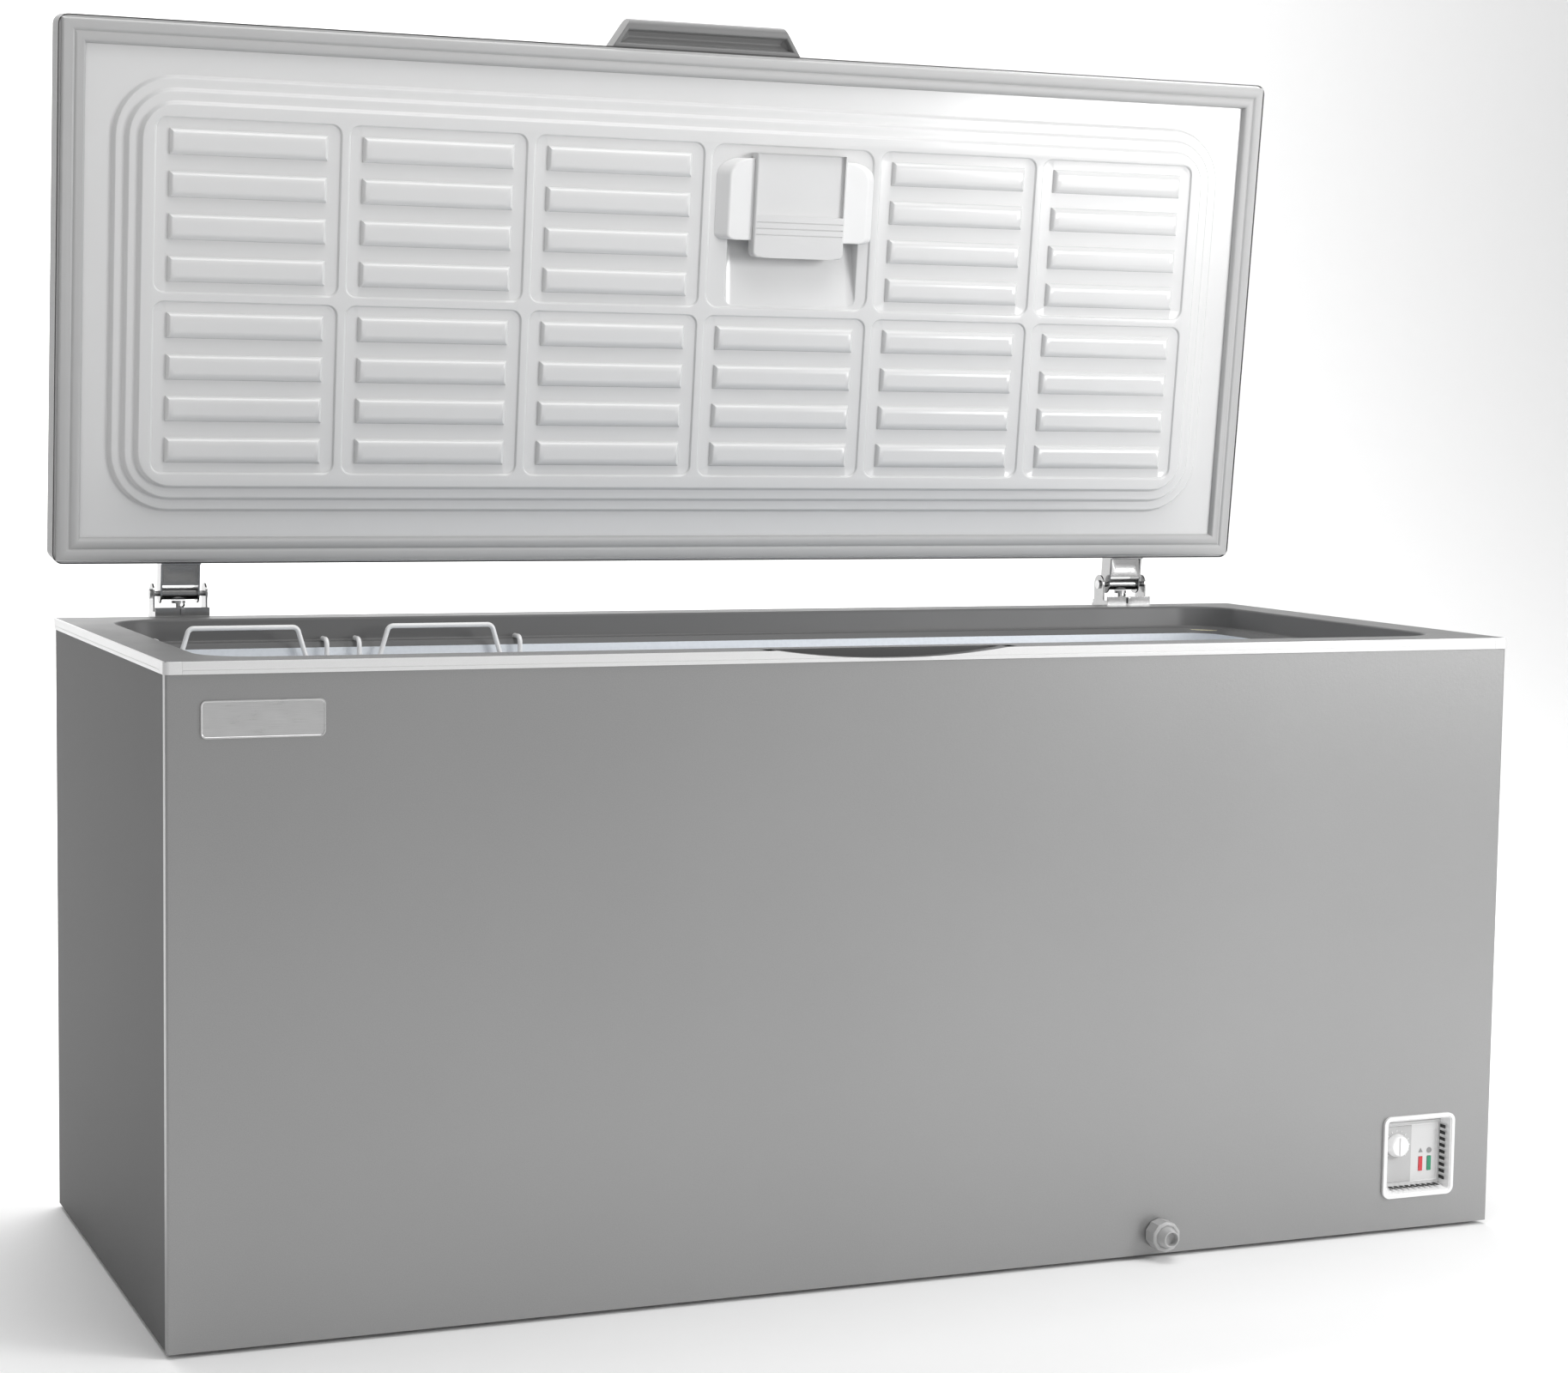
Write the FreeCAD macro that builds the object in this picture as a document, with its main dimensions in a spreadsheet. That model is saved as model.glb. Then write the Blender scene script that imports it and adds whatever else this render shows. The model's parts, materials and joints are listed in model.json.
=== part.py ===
import FreeCAD, Part
import math
import os
import re
import Sketcher
from FreeCAD import Placement, Rotation, Vector

# Chest freezer, lid open. Millimetres, +Z up, front towards -Y.
# The origin is on the floor, under the middle of the cabinet.

SIZES = {
    # cabinet
    "length": 1850, "depth": 755, "height": 822, "foot_rise": 6, "pan_thick": 2,
    "foot_radius": 22, "foot_inset": 70,
    "lip_over": 3, "lip_tall": 15, "lip_corner": 22, "lip_radius": 8, "skin": 1.5, "plastic": 2.5,
    # well: insets from the rim edge, drops from the rim top
    "rim_inset": 62, "slope_inset": 70, "ledge_inset": 82, "liner_inset": 86, "ledge_drop": 32,
    "collar_drop": 40, "rim_radius": 62, "ledge_radius": 54, "liner_radius": 45, "liner_thick": 1.5,
    "floor_rise": 90, "step_start": 555, "step_rise": 370, "room_start": 620, "room_rise": 300,
    # louvres of the right panel
    "louvre_count": 7, "louvre_long": 150, "louvre_tall": 6, "louvre_first": 70, "louvre_pitch": 22,
    "louvre_back": 60,
    # finger scoop in the front lip
    "scoop_radius": 1120, "scoop_drop": 11.5, "scoop_deep": 28, "scoop_wall": 2,
    # lid, as closed
    "lid_front": 378, "lid_back": 362, "lid_rise": 9, "lid_tall": 57, "lid_radius": 14,
    "gasket_gap": 0.5, "gasket_tall": 10.5, "gasket_edge": 2, "gasket_wide": 38,
    "border_rise": 11, "form_thick": 2, "form_inset": 72, "form_pitch": 17, "form_drop": 6,
    "form_run": 6, "form_radius": 85, "open_angle": 84,
    # lid lamp
    "lamp_place": 140, "lamp_front": 206, "lamp_long": 250, "lamp_wide": 118, "lamp_tall": 15,
    "cover_long": 143, "cover_wide": 150, "cover_tall": 22, "cover_wall": 2, "cover_shift": 8,
    "cover_corner": 10,
    "pocket_half": 106, "pocket_front": 150, "pocket_back": 362, "pocket_slope": 100, "pocket_deep": 22,
    "lamp_wall": 3, "lamp_back": 1.5, "lamp_play": 0.3, "board_long": 110, "board_wide": 44, "board_thick": 4,
    # lid handle
    "grip_base": 290, "grip_tip": 237, "grip_out": 40, "grip_tall": 32, "grip_wall": 4, "grip_rise": 14,
    "grip_screw_side": 90, "grip_screw_rise": 14,
    # hinges
    "hinge_place": 747, "pivot_back": 30, "pivot_rise": 30, "hinge_half": 38, "hinge_sheet": 2.5,
    "hinge_deep": 48, "hinge_drop": 150, "hinge_web_rise": 12, "hinge_round": 15, "pin_radius": 4,
    "pin_play": 0.2, "arm_half": 27.5, "arm_round": 14, "rod_radius": 3.5, "rod_head": 10,
    "spring_radius": 8, "spring_wire": 1.5, "spring_turns": 9, "cam_radius": 9, "hinge_gap": 0.5,
    "hinge_spacer_drop": 25, "cheek_notch": 6, "pin_head": 7, "pin_head_thick": 2.8, "rod_head_thick": 4,
    "rod_foot": 6, "spring_gap": 0.3, "arm_plate_rise": 12, "arm_plate_drop": 3,
    # controls
    "control_place": 806, "control_rise": 107, "bezel_wide": 114, "bezel_thick": 4, "bezel_frame": 12,
    "bezel_deep": 24, "fascia_back": 14, "fascia_thick": 2, "knob_radius": 16, "knob_tall": 11,
    "knob_side": 26, "knob_up": 13, "red_side": 14, "green_side": 28, "lens_drop": 16, "lens_wide": 6,
    "lens_tall": 20, "shaft_radius": 3, "lens_play": 0.4, "lens_proud": 1, "lens_deep": 7, "fascia_play": 0.4,
    "thermo_wide": 36, "thermo_deep": 34, "thermo_gap": 1, "shaft_long": 12, "sleeve_wall": 2.5,
    "hole_margin": 4, "pointer_wide": 3, "pointer_proud": 1.5, "cap_thick": 1.5,
    # drain
    "drain_place": 400, "drain_rise": 34, "drain_radius": 9, "drain_knob": 21, "drain_knob_long": 20,
    "drain_inner": 6, "drain_hole_back": 120, "plug_radius": 16, "plug_tall": 12,
    # nameplate
    "plate_place": 808, "plate_rise": 754, "plate_wide": 148, "plate_tall": 45, "plate_thick": 1.6,
    # baskets
    "basket_pitch": 280, "basket_first": 684, "basket_wide": 268, "basket_deep": 564, "basket_tall": 250,
    "wire": 2.4, "frame_wire": 3.4, "basket_gap": 3.6, "bail_wide": 190, "bail_top": 150, "bail_tall": 66,
    "bail_bend": 9, "rest_gap": 0.3, "hook_reach": 8, "hook_out": 22, "basket_drop": 80,
    "mesh_few": 5, "mesh_many": 10, "mesh_rows": 4,
    # machine room
    "comp_place": 775, "comp_back": 140, "comp_radius": 82, "comp_tall": 165, "mount_tall": 20,
    "base_wide": 200, "base_deep": 150, "base_thick": 5, "mount_radius": 13, "mount_x": 80, "mount_y": 56,
    "relay_wide": 44, "relay_deep": 26, "relay_tall": 60, "relay_rise": 70, "relay_gap": 8,
    "drier_side": 40, "drier_front": 60, "drier_rise": 110, "drier_long": 110, "drier_radius": 11,
    "discharge_x": 30, "discharge_run": 145, "discharge_gap": 14, "discharge_end": 44, "suction_x": 60,
    "suction_gap": 22, "suction_under": 24, "suction_run": 152, "suction_end": 40, "can_round": 12,
    "can_in": 2, "seam_rise": 82, "seam_out": 3, "seam_tall": 10, "dome_tall": 22,
    "line_high": 276, "line_low": 110, "suction_low": 90, "line_bend": 16, "discharge_radius": 3,
    "suction_radius": 4,
    "grille_wide": 230, "grille_tall": 190, "grille_rise": 156, "grille_lip": 8, "grille_thick": 2,
    "slot_count": 9, "slot_side": 25, "slot_tall": 7, "slot_first": 16, "slot_pitch": 18,
    "gland_radius": 11, "gland_bore": 4.2, "gland_side": 22, "gland_rise": 40, "gland_neck": 3.2,
    "screw_radius": 4, "screw_tall": 2.4,
    # coils
    "evap_radius": 4, "evap_first": 150, "evap_pitch": 105, "cond_radius": 2.4, "cond_pitch": 80,
    "cond_first": 130, "cond_left": 855, "cond_right": 535, "cond_bend": 24, "pipe_gap": 0.4,
}

doc = FreeCAD.newDocument("chest_freezer")
sheet = doc.addObject("Spreadsheet::Sheet", "dims")
for row, (alias, number) in enumerate(SIZES.items(), start=1):
    sheet.set(f"A{row}", alias)
    sheet.set(f"B{row}", str(number))
    sheet.setAlias(f"B{row}", alias)
doc.recompute()

nodes = []


def mm(alias):
    """Value of one cell of the sheet."""
    return float(sheet.get(alias))


def formula(text):
    """Expression text with each word turned into a cell of the sheet."""
    return re.sub(r"[a-z][a-z_]*", r"dims.\g<0>", text)


def keep(obj, label):
    """Name a finished sub-part and list it for export."""
    obj.Label = label
    nodes.append(obj)
    return obj


def place(obj, corner):
    """Bind the position of an object to three expressions."""
    for axis, text in zip("xyz", corner):
        obj.setExpression(f"Placement.Base.{axis}", formula(text))


FACING = {
    "up": Rotation(),
    "front": Rotation(Vector(1, 0, 0), 90),
    "back": Rotation(Vector(1, 0, 0), -90),
    "right": Rotation(Vector(0, 1, 0), 90),
}


# ---------------------------------------------------------------- Part objects


def box(name, size, corner):
    """Part box bound to expressions for its size and its low corner."""
    obj = doc.addObject("Part::Box", name)
    for prop, text in zip(("Length", "Width", "Height"), size):
        obj.setExpression(prop, formula(text))
    place(obj, corner)
    return obj


def cylinder(name, radius, tall, corner, facing="up"):
    """Part cylinder standing on a point and facing one way."""
    obj = doc.addObject("Part::Cylinder", name)
    obj.setExpression("Radius", formula(radius))
    obj.setExpression("Height", formula(tall))
    obj.Placement = Placement(Vector(), FACING[facing])
    place(obj, corner)
    return obj


def fuse(name, pieces):
    """One solid from several touching ones."""
    obj = doc.addObject("Part::MultiFuse", name)
    obj.Shapes = pieces
    obj.Refine = True
    return obj


def cut(name, base, tools):
    """Base with the tools taken away."""
    obj = doc.addObject("Part::Cut", name)
    obj.Base = base
    obj.Tool = tools[0] if len(tools) == 1 else fuse(f"{name}_tools", tools)
    return obj


def group(name, pieces):
    """Separate solids kept as one sub-part."""
    obj = doc.addObject("Part::Compound", name)
    obj.Links = pieces
    return obj


def solid(label, shape, pose=None):
    """Sub-part whose shape is worked out here from the sheet's cells."""
    obj = doc.addObject("Part::Feature", label)
    obj.Shape = shape
    if pose is not None:
        obj.Placement = pose
    return keep(obj, label)


# ---------------------------------------------------------- PartDesign helpers


def new_body(label, facing="up", corner=("0", "0", "0")):
    """PartDesign body turned and placed, listed for export."""
    body = doc.addObject("PartDesign::Body", label)
    body.Placement = Placement(Vector(), FACING[facing])
    place(body, corner)
    return keep(body, label)


def sketch_on(body, name, role):
    """Empty sketch on one of the body's own origin planes."""
    sketch = body.newObject("Sketcher::SketchObject", name)
    planes = [item for item in body.Origin.OriginFeatures if item.Role == role]
    sketch.AttachmentSupport = [(planes[0], "")]
    sketch.MapMode = "FlatFace"
    return sketch


def outline(body, name, role, points):
    """Closed polygon whose corners are bound to pairs of expressions."""
    sketch = sketch_on(body, name, role)
    count = len(points)
    turn = [Rotation(Vector(0, 0, 1), 360 * i / count).multVec(Vector(50, 0, 0)) for i in range(count)]
    for i in range(count):
        sketch.addGeometry(Part.LineSegment(turn[i], turn[(i + 1) % count]), False)
    for i in range(count):
        sketch.addConstraint(Sketcher.Constraint("Coincident", i, 2, (i + 1) % count, 1))
    for i, pair in enumerate(points):
        for kind, text in zip(("DistanceX", "DistanceY"), pair):
            index = sketch.addConstraint(Sketcher.Constraint(kind, -1, 1, i, 1, 1.0))
            sketch.setExpression(f"Constraints[{index}]", formula(text))
    return sketch


def circle(body, name, role, radius, centre=("0", "0")):
    """Circle bound to expressions for its radius and centre."""
    sketch = sketch_on(body, name, role)
    sketch.addGeometry(Part.Circle(Vector(1, 1, 0), Vector(0, 0, 1), 5), False)
    rules = [("DistanceX", -1, 1, 0, 3), ("DistanceY", -1, 1, 0, 3)]
    for rule, text in zip(rules, centre):
        index = sketch.addConstraint(Sketcher.Constraint(*rule, 1.0))
        sketch.setExpression(f"Constraints[{index}]", formula(text))
    index = sketch.addConstraint(Sketcher.Constraint("Radius", 0, 5.0))
    sketch.setExpression(f"Constraints[{index}]", formula(radius))
    return sketch


def corners(wide, tall, centre=("0", "0")):
    """Four corners of a centred rectangle, as expressions."""
    signs = [(-1, -1), (1, -1), (1, 1), (-1, 1)]
    return [(f"{centre[0]} + {a} * ({wide}) / 2", f"{centre[1]} + {b} * ({tall}) / 2") for a, b in signs]


def pad(body, sketch, long):
    """Pad of a sketch, its length bound to an expression."""
    feature = body.newObject("PartDesign::Pad", f"{sketch.Name}_pad")
    feature.Profile = sketch
    feature.setExpression("Length", formula(long))
    sketch.Visibility = False
    return feature


def pocket(body, sketch, long, reverse=True):
    """Pocket of a sketch, cut along the sketch's normal when reversed."""
    feature = body.newObject("PartDesign::Pocket", f"{sketch.Name}_pocket")
    feature.Profile = sketch
    feature.Reversed = reverse
    feature.setExpression("Length", formula(long))
    sketch.Visibility = False
    return feature


def spin(body, sketch):
    """Full turn of a sketch about its upright axis."""
    feature = body.newObject("PartDesign::Revolution", f"{sketch.Name}_spin")
    feature.Profile = sketch
    feature.ReferenceAxis = (sketch, ["V_Axis"])
    feature.Angle = 360
    sketch.Visibility = False
    return feature


def round_edges(body, feature, edges, radius):
    """Fillet of the edges that a test picks."""
    doc.recompute()
    picked = [f"Edge{i + 1}" for i, edge in enumerate(feature.Shape.Edges) if edges(edge)]
    fillet = body.newObject("PartDesign::Fillet", f"{feature.Name}_round")
    fillet.Base = (feature, picked)
    fillet.setExpression("Radius", formula(radius))
    return fillet


def is_upright(edge):
    """True for a straight edge along the sketch's normal."""
    if not isinstance(edge.Curve, Part.Line):
        return False
    return abs(edge.tangentAt(edge.FirstParameter).z) > 0.99


def turned(label, profile, facing, corner):
    """Body of revolution from a half profile of (radius, along) pairs."""
    body = new_body(label, facing, corner)
    spin(body, outline(body, f"{label}_profile", "XZ_Plane", profile))
    return body


# ------------------------------------------------------------- shape functions


def round_rectangle(x_low, x_high, y_low, y_high, radius, z):
    """Flat wire: a rectangle with round corners."""
    centres = [
        (x_high - radius, y_low + radius, -90), (x_high - radius, y_high - radius, 0),
        (x_low + radius, y_high - radius, 90), (x_low + radius, y_low + radius, 180),
    ]
    arcs = [Part.makeCircle(radius, Vector(x, y, z), Vector(0, 0, 1), a, a + 90) for x, y, a in centres]
    edges = []
    for i, arc in enumerate(arcs):
        following = arcs[(i + 1) % 4]
        edges += [arc, Part.makeLine(arc.lastVertex().Point, following.firstVertex().Point)]
    return Part.Wire(edges)


def slab(x_low, x_high, y_low, y_high, radius, z_low, z_high):
    """Upright block with round corners."""
    face = Part.Face(round_rectangle(x_low, x_high, y_low, y_high, radius, z_low))
    return face.extrude(Vector(0, 0, z_high - z_low))


def block(x_low, x_high, y_low, y_high, z_low, z_high):
    """Plain block between two corners."""
    return Part.makeBox(x_high - x_low, y_high - y_low, z_high - z_low, Vector(x_low, y_low, z_low))


def in_cabinet(inset, radius, z):
    """Round rectangle at one inset from the rim's edge."""
    x, y = mm("length") / 2 - inset, mm("depth") / 2 - inset
    return round_rectangle(-x, x, -y, y, radius, z)


def cabinet_slab(inset, radius, z_low, z_high):
    """Block at one inset from the rim's edge."""
    x, y = mm("length") / 2 - inset, mm("depth") / 2 - inset
    return slab(-x, x, -y, y, radius, z_low, z_high)


def tube(points, radius, bend):
    """Round pipe through the points, with bent corners of any angle."""
    edges = []
    start = points[0]
    for here, following in zip(points[1:-1], points[2:]):
        back = (start - here).normalize()
        on = (following - here).normalize()
        half_angle = back.getAngle(on) / 2
        reach = bend / math.tan(half_angle)
        centre = here + (back + on).normalize() * (bend / math.sin(half_angle))
        middle = centre + (here - centre).normalize() * bend
        edges.append(Part.makeLine(start, here + back * reach))
        edges.append(Part.Arc(here + back * reach, middle, here + on * reach).toShape())
        start = here + on * reach
    edges.append(Part.makeLine(start, points[-1]))
    ring = Part.Wire(Part.makeCircle(radius, points[0], edges[0].tangentAt(0)))
    return Part.Wire(edges).makePipeShell([ring], True, False)


# --------------------------------------------------------------- cabinet sizes

half_x = mm("length") / 2
half_y = mm("depth") / 2
rim_z = mm("height")
pan_z = mm("foot_rise") + mm("pan_thick")
skin_in = mm("lip_over") + mm("skin")
ledge_z = rim_z - mm("ledge_drop")
collar_z = rim_z - mm("collar_drop")
basket_z = rim_z - mm("basket_drop")
liner_x = half_x - mm("liner_inset")
liner_y = half_y - mm("liner_inset")


def well(grow):
    """Room inside the collar, grown outwards and below its ledge."""
    slope = Part.makeLoft([
        in_cabinet(mm("rim_inset") - grow, mm("rim_radius") + grow, rim_z),
        in_cabinet(mm("slope_inset") - grow, mm("ledge_radius") + grow, ledge_z - grow),
    ], True, True)
    strip = Part.makeLoft([
        in_cabinet(mm("ledge_inset") - grow, mm("ledge_radius") + grow, ledge_z - grow),
        in_cabinet(mm("liner_inset") - grow, mm("liner_radius") + grow, collar_z),
    ], True, True)
    return slope.fuse(strip)


def cavity(grow):
    """Room inside the liner: full length above the step, shorter below it."""
    radius = mm("liner_radius") + grow
    x, y = liner_x + grow, liner_y + grow
    below = slab(-x, mm("step_start") + grow, -y, y, radius, mm("floor_rise") - grow, collar_z)
    above = slab(-x, x, -y, y, radius, mm("step_rise") - grow, collar_z)
    return below.fuse(above).removeSplitter()


def scoop(grow, y_low, y_high):
    """Shallow round cut in the front lip, as deep as its two ends say."""
    radius = mm("scoop_radius")
    centre_z = rim_z - mm("scoop_drop") + radius
    disc = Part.makeCylinder(radius + grow, y_high - y_low, Vector(0, y_low, centre_z), Vector(0, 1, 0))
    return disc.common(block(-half_x, half_x, y_low, y_high, rim_z - 2 * mm("lip_tall"), rim_z))


scoop_room = scoop(0, -half_y - 1, -half_y + mm("scoop_deep"))
scoop_seat = scoop(mm("scoop_wall"), -half_y + skin_in, -half_y + mm("scoop_deep") + mm("scoop_wall"))

evap_levels = [mm("evap_first") + i * mm("evap_pitch") for i in range(6)]
cond_levels = [mm("cond_first") + i * mm("cond_pitch") for i in range(7)]
cond_ends = [-mm("cond_left"), mm("cond_right")]


def evap_reach(level):
    """Right end of the evaporator at one level, short of the step."""
    return mm("step_start") if level < mm("step_rise") + 20 else liner_x


# ---------------------------------------------------------------- outer panels


def front_panel():
    """Painted front sheet with the control opening and the drain hole."""
    body = new_body("front_panel", "front", ("0", "-depth/2 + lip_over + skin", "0"))
    tall = "height - plastic"
    low = "foot_rise"
    wide = "length / 2 - lip_over"
    points = [
        (f"-({wide})", low), (f"{wide}", low), (f"{wide}", tall), (f"-({wide})", tall),
    ]
    pad(body, outline(body, "front_sheet", "XY_Plane", points), "skin")
    opening = "bezel_wide - 2 * hole_margin"
    hole = corners(opening, opening, ("control_place", "control_rise"))
    pocket(body, outline(body, "control_hole", "XY_Plane", hole), "skin * 2")
    drain = circle(body, "drain_hole", "XY_Plane", "drain_radius + 1.5", ("drain_place", "drain_rise"))
    pocket(body, drain, "skin * 2")
    scoop_edge = circle(body, "scoop_notch", "XY_Plane", "scoop_radius",
                        ("0", "height - scoop_drop + scoop_radius"))
    body.Tip = pocket(body, scoop_edge, "skin * 2")
    return body


def side_panel(label, side):
    """Painted side sheet; the right one has louvres for the machine room."""
    x_low = "-length/2 + lip_over" if side < 0 else "length/2 - lip_over - skin"
    deep = "depth - 2 * (lip_over + skin)"
    panel = box(f"{label}_sheet", ("skin", deep, "height - plastic - foot_rise"),
                (x_low, "-depth/2 + lip_over + skin", "foot_rise"))
    if side < 0:
        return keep(panel, label)
    slots = []
    for i in range(int(mm("louvre_count"))):
        slots.append(box(f"louvre_{i}", ("skin * 3", "louvre_long", "louvre_tall"),
                         ("length/2 - lip_over - skin * 2", "louvre_back",
                          f"louvre_first + {i} * louvre_pitch")))
    return keep(cut(label, panel, slots), label)


def rear_panel():
    """Rear sheet with the machine room opening and the gland hole."""
    body = new_body("rear_panel", "back", ("0", "depth/2 - lip_over - skin", "0"))
    wide = "length / 2 - lip_over"
    points = [
        (f"-({wide})", "-foot_rise"), (f"{wide}", "-foot_rise"),
        (f"{wide}", "-(height - plastic)"), (f"-({wide})", "-(height - plastic)"),
    ]
    pad(body, outline(body, "rear_sheet", "XY_Plane", points), "skin")
    grille = corners("grille_wide - 2 * grille_lip", "grille_tall - 2 * grille_lip",
                     ("comp_place", "-grille_rise"))
    pocket(body, outline(body, "grille_hole", "XY_Plane", grille), "skin * 2")
    gland = circle(body, "gland_hole", "XY_Plane", "gland_radius - gland_neck + 0.2",
                   ("room_start + gland_side", "-gland_rise"))
    body.Tip = pocket(body, gland, "skin * 2")
    return body


def base_pan():
    """Flat pan under the foam and the machine room."""
    inset = "2 * (lip_over + skin)"
    return keep(box("base_pan_sheet", (f"length - {inset}", f"depth - {inset}", "pan_thick"),
                    ("-length/2 + lip_over + skin", "-depth/2 + lip_over + skin", "foot_rise")), "base_pan")


def feet():
    """Four low glides under the corners of the pan."""
    pads = []
    for i, (a, b) in enumerate([(-1, -1), (1, -1), (1, 1), (-1, 1)]):
        pads.append(cylinder(f"foot_{i}", "foot_radius", "foot_rise",
                             (f"{a} * (length/2 - foot_inset)", f"{b} * (depth/2 - foot_inset)", "0")))
    return keep(group("feet_group", pads), "feet")


# ------------------------------------------------------------- foam and liners


def foam_tools():
    """Everything that takes room out of the cabinet's foam."""
    tools = [well(mm("plastic")), cavity(mm("liner_thick")), scoop_seat]
    tools.append(block(mm("room_start"), half_x, -half_y, half_y, 0, mm("room_rise")))
    reach = mm("evap_radius") + mm("pipe_gap")
    for level in evap_levels:
        right = evap_reach(level) + mm("liner_thick")
        left = -liner_x - mm("liner_thick")
        front = liner_y + mm("liner_thick")
        out = 2 * reach
        tools.append(slab(left - out, right + out, -front - out, front + out,
                          mm("liner_radius"), level - reach, level + reach))
    deep = 2 * (mm("cond_radius") + mm("pipe_gap"))
    back = half_y - skin_in
    for level in cond_levels:
        tools.append(block(cond_ends[0] - deep, cond_ends[1] + deep, back - deep, back,
                           level - deep / 2, level + deep / 2))
    for end in cond_ends:
        tools.append(block(end - mm("cond_bend"), end + mm("cond_bend"), back - deep, back,
                           cond_levels[0], cond_levels[-1]))
    hole = Part.makeCylinder(mm("drain_radius") + 1, mm("floor_rise"),
                             Vector(mm("drain_place"), -half_y + mm("drain_hole_back"), 0))
    tools.append(hole.common(block(-half_x, half_x, -half_y, half_y, mm("drain_rise"), mm("floor_rise"))))
    tools.append(Part.makeCylinder(mm("drain_radius") + 1, mm("drain_hole_back") + mm("drain_radius"),
                                   Vector(mm("drain_place"), -half_y, mm("drain_rise")), Vector(0, 1, 0)))
    return tools


def cabinet_foam():
    """Foam of the walls, floor and step, poured as one and split at its corners."""
    x, y, top = half_x - skin_in, half_y - skin_in, rim_z - mm("plastic")
    foam = block(-x, x, -y, y, pan_z, top)
    for tool in foam_tools():
        foam = foam.cut(tool)
    core_x, core_y = liner_x - mm("liner_radius"), liner_y - mm("liner_radius")
    floor_z = mm("floor_rise") - mm("liner_thick")
    step_x, step_z = mm("step_start"), mm("step_rise") - mm("liner_thick")
    bend_x, room_x, room_z = step_x - mm("liner_radius"), mm("room_start"), mm("room_rise")
    regions = [
        (-x, room_x, -y, y, pan_z, floor_z),
        (-x, -liner_x, -core_y, core_y, floor_z, top),
        (liner_x, x, -core_y, core_y, room_z, top),
        (step_x, room_x, -liner_y, liner_y, floor_z, step_z),
        (room_x, liner_x, -liner_y, liner_y, room_z, step_z),
    ]
    for side in (-1, 1):
        wall_y = sorted((side * liner_y, side * y))
        post_y = sorted((side * core_y, side * y))
        regions += [
            (-core_x, bend_x, *wall_y, floor_z, top),
            (bend_x, step_x, *post_y, floor_z, step_z),
            (bend_x, step_x, *wall_y, step_z, top),
            (step_x, room_x, *wall_y, floor_z, top),
            (room_x, core_x, *wall_y, room_z, top),
            (-x, -core_x, *post_y, floor_z, top),
            (core_x, x, *post_y, room_z, step_z),
            (core_x, x, *post_y, step_z, top),
        ]
    pieces = []
    for region in regions:
        pieces += foam.common(block(*region)).Solids
    return solid("cabinet_foam", Part.makeCompound(pieces))


def inner_liner():
    """Tub with its step and a drain hole in the floor."""
    shell = cavity(mm("liner_thick")).cut(cavity(0))
    low = mm("floor_rise") - 2 * mm("liner_thick")
    hole = Part.makeCylinder(mm("drain_inner"), 4 * mm("liner_thick"),
                             Vector(mm("drain_place"), -half_y + mm("drain_hole_back"), low))
    return solid("inner_liner", shell.cut(hole))


def top_collar():
    """Moulded collar: flat rim, sloped wall, ledge and lower strip."""
    inset = mm("lip_over")
    outside = cabinet_slab(inset, 5, collar_z, rim_z).cut(well(0))
    inside = cabinet_slab(inset, 5, collar_z, rim_z - mm("plastic")).cut(well(mm("plastic")))
    return solid("top_collar", outside.cut(inside).cut(scoop_seat).cut(scoop_room))


def rim_trim():
    """Bright strips round the outside of the rim, between the corner pieces."""
    low, top = rim_z - mm("lip_tall"), rim_z
    x, y, t = half_x - mm("lip_corner"), half_y - mm("lip_corner"), mm("lip_over")
    strips = [
        block(-x, x, -half_y, -half_y + t, low, top).cut(scoop_room),
        block(-x, x, half_y - t, half_y, low, top),
        block(-half_x, -half_x + t, -y, y, low, top),
        block(half_x - t, half_x, -y, y, low, top),
    ]
    return solid("rim_trim", Part.makeCompound(strips))


def trim_corners():
    """Rounded corner pieces that join the strips."""
    low, top, t = rim_z - mm("lip_tall"), rim_z, mm("lip_over")
    ring = cabinet_slab(0, mm("lip_radius"), low, top)
    ring = ring.cut(block(t - half_x, half_x - t, t - half_y, half_y - t, low, top))
    reach = mm("lip_corner")
    pieces = []
    for a, b in ((-1, -1), (1, -1), (1, 1), (-1, 1)):
        xs = sorted((a * half_x, a * (half_x - reach)))
        ys = sorted((b * half_y, b * (half_y - reach)))
        pieces.append(ring.common(block(xs[0], xs[1], ys[0], ys[1], low, top)).Solids[0])
    return solid("trim_corners", Part.makeCompound(pieces))


def finger_scoop():
    """Dark insert that lines the scoop in the front lip."""
    return solid("finger_scoop", scoop_seat.cut(scoop_room))


def evaporator_coil():
    """Level loops of pipe round the liner."""
    pipe = mm("evap_radius")
    off = mm("liner_thick") + mm("pipe_gap") + pipe
    loops = []
    for level in evap_levels:
        right = evap_reach(level) + off
        path = round_rectangle(-liner_x - off, right, -liner_y - off, liner_y + off,
                               mm("liner_radius") + off, level)
        start = path.Edges[0].firstVertex().Point
        ring = Part.Wire(Part.makeCircle(pipe, start, path.Edges[0].tangentAt(path.Edges[0].FirstParameter)))
        loops.append(path.makePipeShell([ring], True, False))
    return solid("evaporator_coil", Part.makeCompound(loops))


def condenser_coil():
    """One serpentine pipe against the inside of the rear panel."""
    y = half_y - skin_in - mm("cond_radius") - mm("pipe_gap")
    points = []
    for i, level in enumerate(cond_levels):
        points += [Vector(x, y, level) for x in (cond_ends if i % 2 == 0 else cond_ends[::-1])]
    return solid("condenser_coil", tube(points, mm("cond_radius"), mm("cond_bend")))


# --------------------------------------------------------------- front details


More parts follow.
